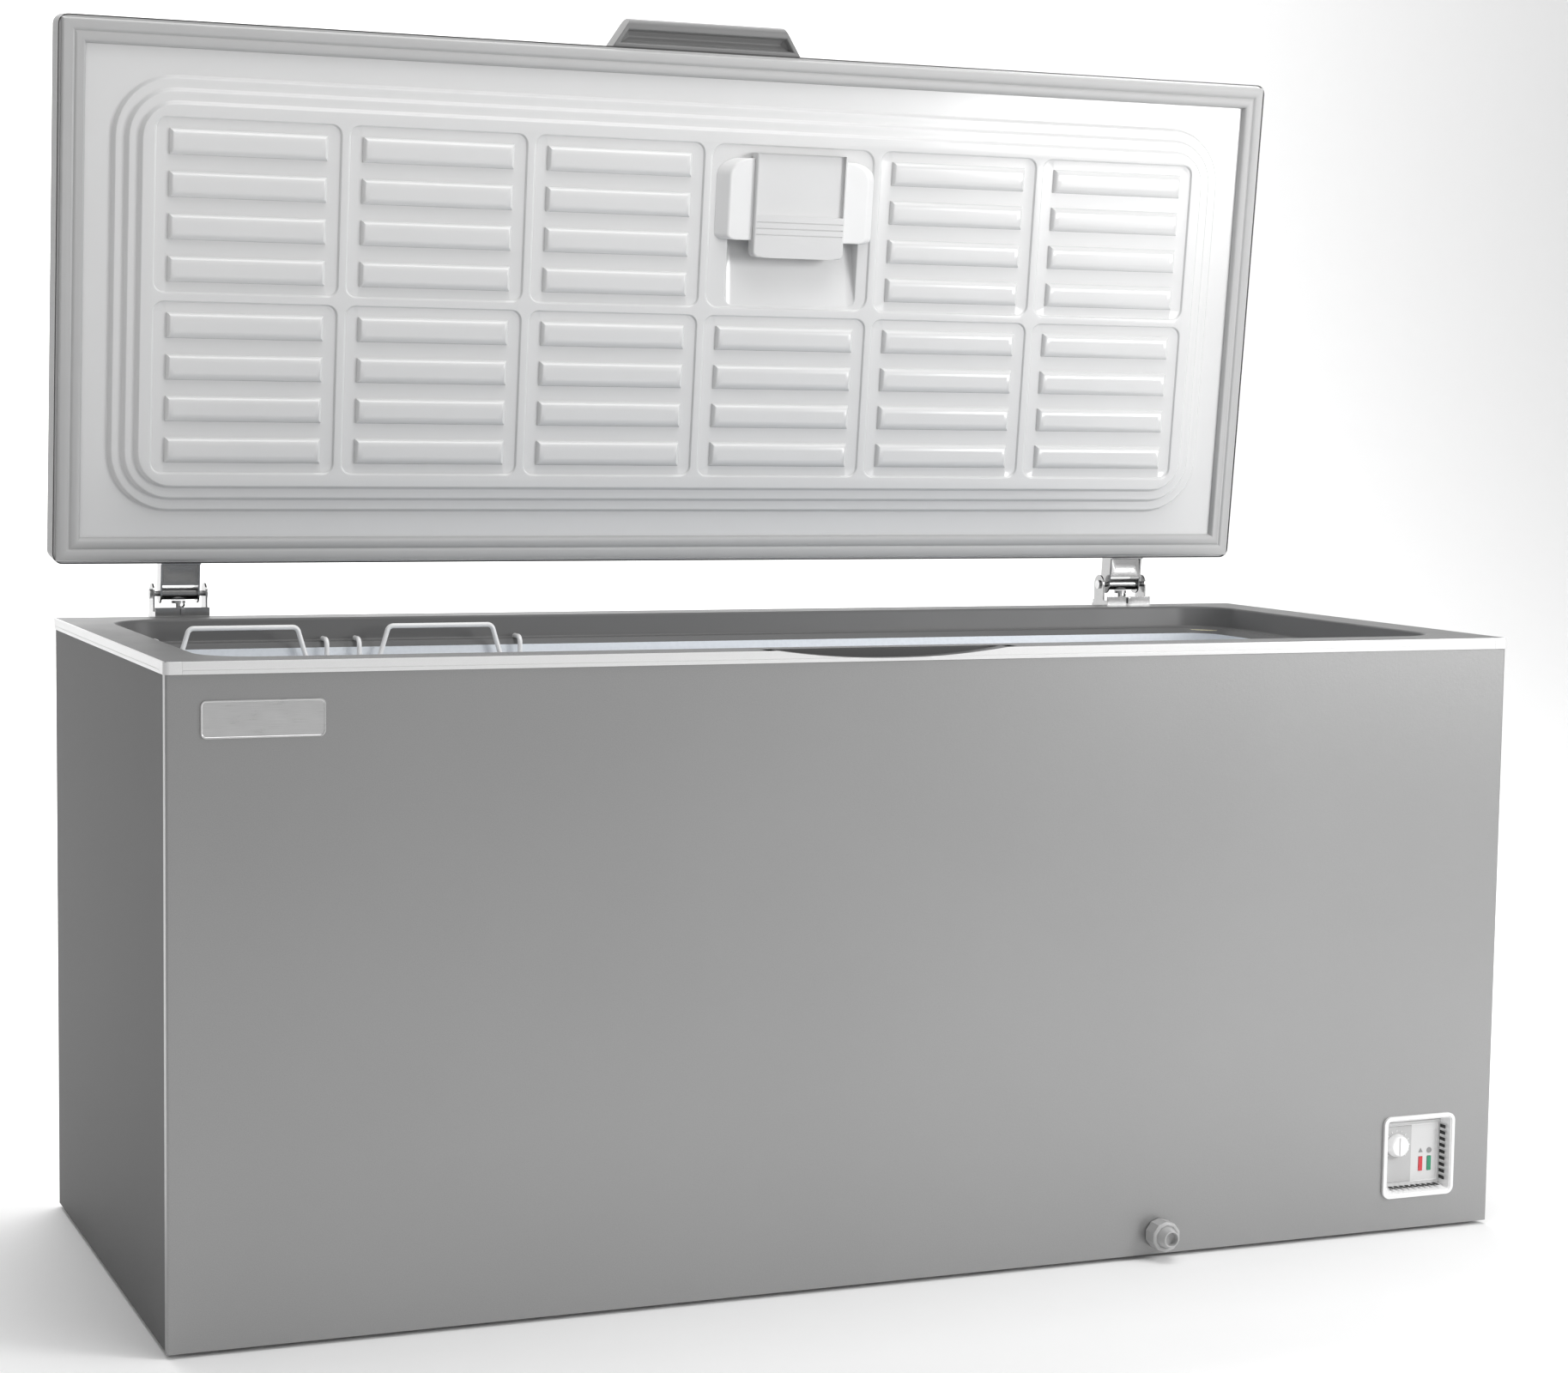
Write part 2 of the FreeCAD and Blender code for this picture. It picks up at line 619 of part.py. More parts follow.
def nameplate():
    """Blank plate with round ends at the front's upper left."""
    body = new_body("nameplate", "front", ("-plate_place", "-depth/2 + lip_over", "plate_rise"))
    base = pad(body, outline(body, "plate_shape", "XY_Plane", corners("plate_wide", "plate_tall")),
               "plate_thick")
    body.Tip = round_edges(body, base, is_upright, "plate_tall * 0.22")
    return body


def control_bezel():
    """Square surround of the recessed control panel."""
    body = new_body("control_bezel", "front", ("control_place", "-depth/2 + lip_over", "control_rise"))
    front = pad(body, outline(body, "bezel_flange", "XY_Plane", corners("bezel_wide", "bezel_wide")),
                "bezel_thick")
    round_edges(body, front, is_upright, "bezel_frame / 2")
    inner = "bezel_wide - 2 * bezel_frame"
    outer = f"{inner} + 2 * sleeve_wall"
    sleeve = pad(body, outline(body, "bezel_sleeve", "XY_Plane", corners(outer, outer)), "bezel_deep")
    sleeve.Reversed = True
    pocket(body, outline(body, "bezel_window", "XY_Plane", corners(inner, inner)), "bezel_thick * 2")
    room = outline(body, "bezel_room", "XY_Plane", corners(inner, inner))
    body.Tip = pocket(body, room, "bezel_deep * 2", False)
    return body


def control_fascia():
    """Plate at the bottom of the recess, with holes for shaft and lenses."""
    body = new_body("control_fascia", "front",
                    ("control_place", "-depth/2 + lip_over + fascia_back + fascia_thick", "control_rise"))
    inner = "bezel_wide - 2 * bezel_frame - fascia_play"
    pad(body, outline(body, "fascia_plate", "XY_Plane", corners(inner, inner)), "fascia_thick")
    through = "fascia_thick * 2"
    shaft = circle(body, "shaft_hole", "XY_Plane", "shaft_radius + 0.4", ("-knob_side", "knob_up"))
    pocket(body, shaft, through)
    for side in ("red_side", "green_side"):
        lens = corners("lens_wide + lens_play", "lens_tall + lens_play", (side, "-lens_drop"))
        body.Tip = pocket(body, outline(body, f"{side}_hole", "XY_Plane", lens), through)
    return body


def indicator(label, side):
    """Rectangular lamp lens that stands just proud of the fascia."""
    return keep(box(f"{label}_lens", ("lens_wide", "lens_deep", "lens_tall"),
                    (f"control_place + {side} - lens_wide/2",
                     "-depth/2 + lip_over + fascia_back - lens_proud",
                     "control_rise - lens_drop - lens_tall/2")), label)


def thermostat():
    """Thermostat box behind the fascia, with its shaft to the knob."""
    front = "-depth/2 + lip_over + fascia_back + fascia_thick + thermo_gap"
    case = box("thermostat_case", ("thermo_wide", "thermo_deep", "thermo_wide"),
               ("control_place - knob_side - thermo_wide/2", front, "control_rise + knob_up - thermo_wide/2"))
    shaft = cylinder("thermostat_shaft", "shaft_radius", "shaft_long",
                     ("control_place - knob_side", f"{front} + 1", "control_rise + knob_up"), "front")
    return keep(fuse("thermostat_fused", [case, shaft]), "thermostat")


def thermostat_knob():
    """Round knob on the thermostat shaft, with a blind bore and a pointer."""
    body = turned("thermostat_knob",
                  [("shaft_radius + 0.2", "0"), ("knob_radius", "0"), ("knob_radius", "2.5"),
                   ("knob_radius - 2", "knob_tall - 1.5"), ("knob_radius - 3.5", "knob_tall"),
                   ("0", "knob_tall"), ("0", "knob_tall - cap_thick"),
                   ("shaft_radius + 0.2", "knob_tall - cap_thick")],
                  "front", ("control_place - knob_side", "-depth/2 + lip_over + fascia_back - 0.6",
                            "control_rise + knob_up"))
    ridge = corners("pointer_wide", "knob_radius * 1.5")
    pad(body, outline(body, "knob_pointer", "XY_Plane", ridge), "knob_tall + pointer_proud")
    bore = circle(body, "knob_bore", "XY_Plane", "shaft_radius + 0.2")
    body.Tip = pocket(body, bore, "knob_tall - cap_thick")
    return body


def drain_spout():
    """Tube that pulls out of the front, with a flange behind the knob."""
    return turned("drain_spout",
                  [("drain_inner", "-drain_hole_back + drain_radius + 6"),
                   ("drain_radius", "-drain_hole_back + drain_radius + 6"),
                   ("drain_radius", "drain_knob_long - 6"), ("drain_inner", "drain_knob_long - 6")],
                  "front", ("drain_place", "-depth/2 + lip_over", "drain_rise"))


def drain_knob():
    """Short faceted knob with a tapered nozzle on the spout's end."""
    return turned("drain_knob",
                  [("drain_radius + 0.4", "1.2"), ("drain_knob", "1.2"), ("drain_knob", "drain_knob_long"),
                   ("drain_knob - 3", "drain_knob_long + 3"), ("drain_radius + 1", "drain_knob_long + 5"),
                   ("drain_inner + 1", "drain_knob_long + 17"), ("0", "drain_knob_long + 17"),
                   ("0", "drain_knob_long - 2"), ("drain_radius + 0.4", "drain_knob_long - 2")],
                  "front", ("drain_place", "-depth/2 + lip_over", "drain_rise"))


def drain_elbow():
    """Fixed pipe from the liner's drain down to the level of the spout."""
    x, y, r = mm("drain_place"), -half_y + mm("drain_hole_back"), mm("drain_radius") + 0.8
    low = mm("drain_rise") + mm("drain_radius") + 1.2
    top = mm("floor_rise") - mm("liner_thick") - 0.2
    pipe = Part.makeCylinder(r, top - low, Vector(x, y, low))
    return solid("drain_elbow", pipe.cut(Part.makeCylinder(mm("drain_inner"), top - low, Vector(x, y, low))))


def drain_plug():
    """Rubber plug in the liner's drain, with a finger tab."""
    return turned("drain_plug",
                  [("0", "-8"), ("drain_inner - 0.6", "-8"), ("drain_inner - 0.4", "0.4"),
                   ("plug_radius", "0.4"), ("plug_radius", "3"), ("5", "5"), ("4", "plug_tall"),
                   ("0", "plug_tall")],
                  "up", ("drain_place", "-depth/2 + drain_hole_back", "floor_rise"))


# ---------------------------------------------------------------- machine room


def compressor():
    """Hermetic can with a seam band and a foot plate."""
    return turned("compressor",
                 [("0", "0"), ("comp_radius - can_round", "0"),
                  ("comp_radius - can_in", "can_round - can_in"),
                  ("comp_radius - can_in", "seam_rise - can_in"), ("comp_radius + seam_out", "seam_rise"),
                  ("comp_radius + seam_out", "seam_rise + seam_tall"),
                  ("comp_radius - can_in*2", "seam_rise + seam_tall + can_in"),
                  ("comp_radius - can_round", "comp_tall - dome_tall"),
                  ("comp_radius - can_round*3", "comp_tall - can_in*2"), ("0", "comp_tall")],
                 "up", ("comp_place", "comp_back", "foot_rise + pan_thick + mount_tall + base_thick + 1"))


def compressor_base():
    """Foot plate under the can, resting on the grommets."""
    return keep(box("compressor_base_plate", ("base_wide", "base_deep", "base_thick"),
                    ("comp_place - base_wide/2", "comp_back - base_deep/2",
                     "foot_rise + pan_thick + mount_tall")),
                "compressor_base")


def compressor_mounts():
    """Four rubber grommets between the pan and the foot plate."""
    mounts = []
    for i, (a, b) in enumerate([(-1, -1), (1, -1), (1, 1), (-1, 1)]):
        mounts.append(cylinder(f"grommet_{i}", "mount_radius", "mount_tall",
                               (f"comp_place + {a} * mount_x", f"comp_back + {b} * mount_y",
                                "foot_rise + pan_thick")))
    return keep(group("mount_group", mounts), "compressor_mounts")


def start_relay():
    """Relay box on the side of the can."""
    return keep(box("relay_box", ("relay_wide", "relay_deep", "relay_tall"),
                    ("comp_place - relay_wide/2", "comp_back - comp_radius - relay_gap - relay_deep",
                     "relay_rise")), "start_relay")


def filter_drier():
    """Copper capsule in the refrigerant line."""
    return turned("filter_drier",
                  [("0", "0"), ("3", "0"), ("drier_radius", "14"), ("drier_radius", "drier_long - 14"),
                   ("3", "drier_long"), ("0", "drier_long")],
                  "up", ("room_start + drier_side", "-drier_front", "drier_rise"))


def refrigerant_pipes():
    """Discharge and suction lines of the compressor."""
    front = mm("comp_back") - mm("comp_radius") - mm("suction_radius")
    high, low, second = mm("line_high"), mm("line_low"), mm("suction_low")
    out_x, in_x = mm("comp_place") + mm("discharge_x"), mm("comp_place") + mm("suction_x")
    back_x, out_y = out_x - mm("discharge_run"), front - mm("discharge_gap")
    in_y, ridge = front - mm("suction_gap"), high - mm("suction_under")
    far_y = in_y - mm("suction_run")
    discharge = [Vector(out_x, out_y, low), Vector(out_x, out_y, high),
                 Vector(back_x, out_y, high), Vector(back_x, out_y, high - mm("discharge_end"))]
    suction = [Vector(in_x, in_y, second), Vector(in_x, in_y, ridge),
               Vector(in_x, far_y, ridge), Vector(in_x, far_y, low + mm("suction_end"))]
    lines = [tube(discharge, mm("discharge_radius"), mm("line_bend")),
             tube(suction, mm("suction_radius"), mm("line_bend"))]
    return solid("refrigerant_pipes", Part.makeCompound(lines))


def rear_grille():
    """Slotted cover over the machine room's opening in the rear panel."""
    plate = box("grille_plate", ("grille_wide", "grille_thick", "grille_tall"),
                ("comp_place - grille_wide/2", "depth/2 - lip_over", "grille_rise - grille_tall/2"))
    slots = []
    for i in range(int(mm("slot_count"))):
        slots.append(box(f"grille_slot_{i}",
                         ("grille_wide - 2 * slot_side", "grille_thick * 3", "slot_tall"),
                         ("comp_place - grille_wide/2 + slot_side", "depth/2 - lip_over - grille_thick",
                          f"grille_rise - grille_tall/2 + slot_first + {i} * slot_pitch")))
    return keep(cut("grille_cut", plate, slots), "rear_grille")


def cable_gland():
    """Strain relief where the mains cord leaves the rear panel."""
    return turned("cable_gland",
                  [("gland_bore", "-14"), ("gland_radius - gland_neck", "-14"),
                   ("gland_radius - gland_neck", "0"),
                   ("gland_radius", "0"), ("gland_radius", "4"), ("gland_bore + 2.2", "18"),
                   ("gland_bore", "18")],
                  "back", ("room_start + gland_side", "depth/2 - lip_over", "gland_rise"))


def grille_screws():
    """Four screws at the corners of the rear grille."""
    heads = []
    for i, (a, b) in enumerate([(-1, -1), (1, -1), (1, 1), (-1, 1)]):
        heads.append(cylinder(f"screw_{i}", "screw_radius", "screw_tall",
                              (f"comp_place + {a} * (grille_wide/2 - grille_lip)",
                               "depth/2 - lip_over + grille_thick",
                               f"grille_rise + {b} * (grille_tall/2 - grille_lip)"), "back"))
    return keep(group("screw_group", heads), "grille_screws")


# ---------------------------------------------------------------------- hinges

pivot_y = half_y + mm("pivot_back")
pivot_z = rim_z + mm("pivot_rise")


def hinge_base(label, centre):
    """Channel on the cabinet's back whose cheeks hold the pin."""
    half, t, ear = mm("hinge_half"), mm("hinge_sheet"), mm("hinge_round")
    low, front = rim_z - mm("hinge_drop"), half_y + mm("hinge_gap")
    back = front + mm("hinge_deep")
    pieces = [
        block(centre - half, centre + half, front, front + t, low, rim_z + mm("hinge_web_rise")),
        block(centre - half, centre + half, half_y - mm("lip_over"), front, low,
              rim_z - mm("hinge_spacer_drop")),
        block(centre - half, centre + half, front, back, low, low + t),
    ]
    for side in (-1, 1):
        xs = sorted((centre + side * half, centre + side * (half - t)))
        cheek = block(xs[0], xs[1], front, back, low, rim_z + mm("cheek_notch"))
        upright = block(xs[0], xs[1], pivot_y - ear, pivot_y + ear, rim_z, pivot_z)
        disc = Part.makeCylinder(ear, t, Vector(xs[0], pivot_y, pivot_z), Vector(1, 0, 0))
        pieces.append(cheek.multiFuse([upright, disc]))
    shape = pieces[0].multiFuse(pieces[1:]).removeSplitter()
    bore = Part.makeCylinder(mm("pin_radius"), 4 * half, Vector(centre - 2 * half, pivot_y, pivot_z),
                             Vector(1, 0, 0))
    hole = Part.makeCylinder(mm("rod_radius") + 0.4, 4 * t, Vector(centre, pivot_y, low - 2 * t))
    return solid(label, shape.cut(bore).cut(hole))


def hinge_cover(label, centre):
    """Plate that closes the back of the channel."""
    half, t = mm("hinge_half"), mm("hinge_sheet")
    back = half_y + mm("hinge_gap") + mm("hinge_deep")
    return solid(label, block(centre - half, centre + half, back, back + t, rim_z - mm("hinge_drop"), rim_z))


def hinge_pins():
    """Two bright pins with heads outside the cheeks."""
    pins = []
    thick = mm("pin_head_thick")
    for side in (-1, 1):
        middle = side * mm("hinge_place")
        ends = [middle - mm("hinge_half") - thick, middle + mm("hinge_half")]
        long = ends[1] - ends[0] + thick
        pin = Part.makeCylinder(mm("pin_radius"), long, Vector(ends[0], pivot_y, pivot_z), Vector(1, 0, 0))
        heads = [Part.makeCylinder(mm("pin_head"), thick, Vector(x, pivot_y, pivot_z), Vector(1, 0, 0))
                 for x in ends]
        pins.append(pin.multiFuse(heads))
    return solid("hinge_pins", Part.makeCompound(pins))


def hinge_rod(label, centre):
    """Follower under the cam, pushed up by the spring."""
    low = rim_z - mm("hinge_drop") - mm("rod_foot")
    top = pivot_z - mm("cam_radius") - 1
    rod = Part.makeCylinder(mm("rod_radius"), top - low, Vector(centre, pivot_y, low))
    thick = mm("rod_head_thick")
    head = Part.makeCylinder(mm("rod_head"), thick, Vector(centre, pivot_y, top - thick))
    return solid(label, rod.fuse(head))


def hinge_spring(label, centre):
    """Coil between the channel's floor and the follower's head."""
    clear = mm("spring_wire") + mm("spring_gap")
    low = rim_z - mm("hinge_drop") + mm("hinge_sheet") + clear
    top = pivot_z - mm("cam_radius") - 1 - mm("rod_head_thick") - clear
    pitch = (top - low) / mm("spring_turns")
    helix = Part.makeHelix(pitch, top - low, mm("spring_radius"))
    helix.translate(Vector(centre, pivot_y, low))
    ring = Part.Wire(Part.makeCircle(mm("spring_wire"), Vector(centre + mm("spring_radius"), pivot_y, low),
                                     Vector(0, 1, 0)))
    return solid(label, Part.Wire(helix).makePipeShell([ring], True, True))


# ------------------------------------------------------------------------- lid

lid_pose = Placement(Vector(), Rotation(Vector(1, 0, 0), -mm("open_angle")), Vector(0, pivot_y, pivot_z))
lid_front = -mm("lid_front")
lid_back = mm("lid_back")


def lid_wire(inset, radius, z):
    """Round rectangle at one inset from the lid's edge."""
    return round_rectangle(-half_x + inset, half_x - inset, lid_front + inset, lid_back - inset, radius, z)


def lid_slab(inset, radius, z_low, z_high):
    """Block at one inset from the lid's edge."""
    return slab(-half_x + inset, half_x - inset, lid_front + inset, lid_back - inset, radius, z_low, z_high)


def lid_form(rise):
    """Stepped solid whose underside is the lid's inner face, moved up by a rise."""
    face = rim_z + mm("border_rise")
    form = lid_slab(mm("skin") + 0.1, mm("lid_radius") - 1.6, face, face + mm("form_thick"))
    for i in range(3):
        inset = mm("form_inset") + i * mm("form_pitch")
        top, low = face - i * mm("form_drop"), face - (i + 1) * mm("form_drop")
        radius = mm("form_radius") - i * mm("form_pitch")
        form = form.fuse(Part.makeLoft([
            lid_wire(inset, radius, top + mm("form_thick")),
            lid_wire(inset + mm("form_run"), radius - mm("form_run"), low),
        ], True, True))
    form.translate(Vector(0, 0, rise))
    return form


form_face = rim_z + mm("border_rise") - 3 * mm("form_drop")


def lamp_pocket(grow=0):
    """Room in the lid's inner face for the lamp, sloped out towards the back."""
    x, deep = mm("lamp_place"), mm("pocket_deep") + grow
    y_low, y_high = lid_front + mm("pocket_front"), lid_front + mm("pocket_back")
    slope = y_high - mm("pocket_slope")
    profile = [(y_low - grow, -1), (y_high + grow, -1), (y_high + grow, 0), (slope, deep),
               (y_low - grow, deep)]
    left = x - mm("pocket_half") - grow
    ring = [Vector(left, y, form_face + z) for y, z in profile + profile[:1]]
    return Part.Face(Part.makePolygon(ring)).extrude(Vector(2 * (mm("pocket_half") + grow), 0, 0))


def lid_outer_shell():
    """Painted tray over the lid's top and edges."""
    low, top = rim_z + mm("lid_rise"), rim_z + mm("lid_tall")
    tray = lid_slab(0, mm("lid_radius"), low, top)
    room = lid_slab(mm("skin"), mm("lid_radius") - mm("skin"), low, top - mm("skin"))
    return solid("lid_outer_shell", tray.cut(room), lid_pose)


def lid_liner():
    """Formed inner sheet with a border, three steps, a flat field and the lamp's pocket."""
    thick = mm("form_thick")
    sheet_form = lid_form(0).cut(lid_form(thick))
    above = lid_slab(0, mm("lid_radius"), form_face, form_face + mm("lid_tall"))
    return solid("lid_liner", sheet_form.fuse(lamp_pocket(thick).common(above)).cut(lamp_pocket()), lid_pose)


def lid_foam():
    """Foam between the tray and the inner sheet."""
    thick = mm("form_thick")
    top = rim_z + mm("lid_tall") - mm("skin") - 0.1
    face = rim_z + mm("border_rise") + thick
    foam = lid_slab(mm("skin") + 0.1, mm("lid_radius") - 1.6, face, top)
    below = lid_form(thick).common(lid_slab(0, 5, rim_z - 20, face))
    return solid("lid_foam", foam.fuse(below).removeSplitter().cut(lamp_pocket(thick)), lid_pose)


def lid_gasket():
    """Four mitred strips of soft seal on the lid's border."""
    edge, wide = mm("gasket_edge"), mm("gasket_wide")
    low = rim_z + mm("gasket_gap")
    outer = [(-half_x + edge, lid_front + edge), (half_x - edge, lid_front + edge),
             (half_x - edge, lid_back - edge), (-half_x + edge, lid_back - edge)]
    inner = [(-half_x + wide, lid_front + wide), (half_x - wide, lid_front + wide),
             (half_x - wide, lid_back - wide), (-half_x + wide, lid_back - wide)]
    rounded = lid_slab(edge, mm("lid_radius") - edge, low, low + mm("gasket_tall"))
    strips = []
    for i in range(4):
        k = (i + 1) % 4
        ring = [Vector(*p, low) for p in (outer[i], outer[k], inner[k], inner[i], outer[i])]
        strip = Part.Face(Part.makePolygon(ring)).extrude(Vector(0, 0, mm("gasket_tall") - 0.2))
        strips.append(strip.common(rounded).Solids[0])
    return solid("lid_gasket", Part.makeCompound(strips), lid_pose)


def lid_handle():
    """Grip on the lid's front edge, hollow underneath for the fingers."""
    body = keep(doc.addObject("PartDesign::Body", "lid_handle"), "lid_handle")
    shape = [("-grip_base/2", "0"), ("-grip_tip/2", "-grip_out"), ("grip_tip/2", "-grip_out"),
             ("grip_base/2", "0")]
    pad(body, outline(body, "grip_shape", "XY_Plane", shape), "grip_tall")
    room = [("-grip_base/2 + grip_wall * 2.2", "-grip_wall"),
            ("-grip_tip/2 + grip_wall * 1.2", "-grip_out + grip_wall"),
            ("grip_tip/2 - grip_wall * 1.2", "-grip_out + grip_wall"),
            ("grip_base/2 - grip_wall * 2.2", "-grip_wall")]
    body.Tip = pocket(body, outline(body, "grip_room", "XY_Plane", room), "grip_tall - grip_wall")
    body.Placement = lid_pose.multiply(Placement(Vector(0, lid_front, rim_z + mm("grip_rise")), Rotation()))
    return body


def handle_screws():
    """Two screws through the grip's back wall."""
    heads = []
    tall = mm("screw_tall")
    for side in (-1, 1):
        spot = Vector(side * mm("grip_screw_side"), lid_front - mm("grip_wall") - tall,
                      rim_z + mm("grip_rise") + mm("grip_screw_rise"))
        heads.append(Part.makeCylinder(mm("screw_radius"), tall, spot, Vector(0, 1, 0)))
    return solid("handle_screws", Part.makeCompound(heads), lid_pose)


def hinge_arm(label, centre):
    """Channel from the lid's back edge to the pin, with a cam barrel."""
    half, t, round_off = mm("arm_half"), mm("hinge_sheet"), mm("arm_round")
    pieces = [block(centre - half, centre + half, lid_back, lid_back + t,
                    rim_z + mm("arm_plate_rise"), rim_z + mm("lid_tall") - mm("arm_plate_drop"))]
    for side in (-1, 1):
        xs = sorted((centre + side * half, centre + side * (half - t)))
        cheek = block(xs[0], xs[1], lid_back, pivot_y, pivot_z - round_off, pivot_z + round_off)
        disc = Part.makeCylinder(round_off, t, Vector(xs[0], pivot_y, pivot_z), Vector(1, 0, 0))
        pieces.append(cheek.fuse(disc))
    barrel = Part.makeCylinder(mm("cam_radius"), 2 * half, Vector(centre - half, pivot_y, pivot_z),
                               Vector(1, 0, 0))
    shape = pieces[0].multiFuse(pieces[1:] + [barrel]).removeSplitter()
    bore = Part.makeCylinder(mm("pin_radius") + mm("pin_play"), 4 * half,
                             Vector(centre - 2 * half, pivot_y, pivot_z), Vector(1, 0, 0))
    return solid(label, shape.cut(bore), lid_pose)


lamp_x = mm("lamp_place")
lamp_y = lid_front + mm("lamp_front")
cover_y = lamp_y + mm("cover_shift")
lamp_seat = form_face - mm("lamp_play")
board_seat = lamp_seat - mm("lamp_back") - mm("lamp_play")


def lamp_housing():
    """White housing with two wings and a back plate, over the lamp's pocket."""
    long, wide, wall = mm("lamp_long") / 2, mm("lamp_wide") / 2, mm("lamp_wall")
    low = form_face - mm("lamp_tall")
    back = lamp_seat - mm("lamp_back")
    plate = block(lamp_x - long, lamp_x + long, lamp_y - wide, lamp_y + wide, low, lamp_seat)
    hollow = block(lamp_x - long + wall, lamp_x + long - wall, lamp_y - wide + wall, lamp_y + wide - wall,
                   low + wall, back)
    gap = mm("cover_long") / 2 + mm("lamp_play")
    seat = block(lamp_x - gap, lamp_x + gap, lamp_y - wide, lamp_y + wide, low, back)
    return solid("lamp_housing", plate.cut(hollow).cut(seat), lid_pose)


def lamp_cover():
    """Deep clear cover between the wings."""
    long, wide, wall = mm("cover_long") / 2, mm("cover_wide") / 2, mm("cover_wall")
    low = form_face - mm("cover_tall")
    shell = slab(lamp_x - long, lamp_x + long, cover_y - wide, cover_y + wide, mm("cover_corner"),
                 low, board_seat)
    room = slab(lamp_x - long + wall, lamp_x + long - wall, cover_y - wide + wall, cover_y + wide - wall, 8,
                low + wall, board_seat)
    return solid("lamp_cover", shell.cut(room), lid_pose)


def lamp_board():
    """Strip of light sources under the cover."""
    long, wide = mm("board_long") / 2, mm("board_wide") / 2
    return solid("lamp_board", block(lamp_x - long, lamp_x + long, lamp_y - wide, lamp_y + wide,
                                     board_seat - mm("board_thick"), board_seat), lid_pose)


# --------------------------------------------------------------------- baskets


def rod_between(start, end, radius):
    """Straight wire between two points."""
    return Part.makeCylinder(radius, (end - start).Length, start, end - start)


def grid(origin, across, up, wide, tall, count_across, count_up):
    """Flat welded panel of wires: a stout frame and thin bars."""
    wires = []
    frame, thin = mm("frame_wire"), mm("wire")
    corner = [origin, origin + across * wide, origin + across * wide + up * tall, origin + up * tall]
    for i in range(4):
        wires.append(rod_between(corner[i], corner[(i + 1) % 4], frame))
        wires.append(Part.makeSphere(frame, corner[i]))
    for i in range(1, count_across):
        foot = origin + across * (wide * i / count_across)
        wires.append(rod_between(foot, foot + up * tall, thin))
    for i in range(1, count_up):
        side = origin + up * (tall * i / count_up)
        wires.append(rod_between(side, side + across * wide, thin))
    return wires[0].multiFuse(wires[1:])


def basket(label, centre):
    """Wire basket: four upright panels and a floor panel, welded at the edges."""
    gap, frame = mm("basket_gap"), mm("frame_wire")
    x, y = mm("basket_wide") / 2 - frame, mm("basket_deep") / 2 - frame
    top = basket_z + mm("rest_gap") - frame - 0.1
    low = top - mm("basket_tall")
    across, along, up = Vector(1, 0, 0), Vector(0, 1, 0), Vector(0, 0, 1)
    step = 2 * gap
    few, many, rows = (int(mm(name)) for name in ("mesh_few", "mesh_many", "mesh_rows"))
    panels = [
        grid(Vector(centre - x + step, -y, low), across, up, 2 * x - 2 * step, top - low, few, rows),
        grid(Vector(centre - x + step, y, low), across, up, 2 * x - 2 * step, top - low, few, rows),
        grid(Vector(centre - x, -y, low), along, up, 2 * y, top - low, many, rows),
        grid(Vector(centre + x, -y, low), along, up, 2 * y, top - low, many, rows),
        grid(Vector(centre - x + step, -y + step, low), across, along,
             2 * x - 2 * step, 2 * y - 2 * step, few, many),
    ]
    return solid(label, Part.makeCompound(panels))


def basket_bails(label, centre):
    """Upright loop at each end of the basket, whose wire ends in hooks over the ledge."""
    radius = mm("frame_wire")
    half, top = mm("bail_wide") / 2, mm("bail_top") / 2
    low = basket_z + mm("rest_gap") + radius
    high = low + mm("bail_tall")
    hook = ledge_z + mm("rest_gap") + radius
    wide = half + mm("hook_out")
    loops = []
    for side in (-1, 1):
        y = side * (mm("basket_deep") / 2 - radius)
        foot = side * (half_y - mm("ledge_inset") + mm("hook_reach"))
        points = [
            Vector(centre - wide, foot, hook), Vector(centre - wide, y, hook), Vector(centre - wide, y, low),
            Vector(centre - half, y, low), Vector(centre - top, y, high), Vector(centre + top, y, high),
            Vector(centre + half, y, low), Vector(centre + wide, y, low), Vector(centre + wide, y, hook),
            Vector(centre + wide, foot, hook),
        ]
        loops.append(tube(points, radius, mm("bail_bend")))
    return solid(label, Part.makeCompound(loops))


# -------------------------------------------------------------------- assembly

front_panel()
side_panel("left_panel", -1)
side_panel("right_panel", 1)
rear_panel()
base_pan()
feet()
cabinet_foam()
inner_liner()
top_collar()
rim_trim()
trim_corners()
finger_scoop()
evaporator_coil()
condenser_coil()
nameplate()
control_bezel()
control_fascia()
indicator("red_lamp", "red_side")
indicator("green_lamp", "green_side")
thermostat()
thermostat_knob()
drain_spout()
drain_knob()
drain_elbow()
drain_plug()
compressor()
compressor_base()
compressor_mounts()
start_relay()
filter_drier()
refrigerant_pipes()
rear_grille()
cable_gland()
grille_screws()
for side_name, sign in (("left", -1), ("right", 1)):
    hinge_x = sign * mm("hinge_place")
    hinge_base(f"hinge_base_{side_name}", hinge_x)
    hinge_cover(f"hinge_cover_{side_name}", hinge_x)
    hinge_rod(f"hinge_rod_{side_name}", hinge_x)
    hinge_spring(f"hinge_spring_{side_name}", hinge_x)
    hinge_arm(f"hinge_arm_{side_name}", hinge_x)
hinge_pins()
lid_outer_shell()
lid_liner()
lid_foam()
lid_gasket()
lid_handle()
handle_screws()
lamp_housing()
lamp_cover()
lamp_board()
for number, name in enumerate(("basket_left", "basket_right")):
    basket_x = -mm("basket_first") + number * mm("basket_pitch")
    basket(name, basket_x)
    basket_bails(f"{name}_bails", basket_x)

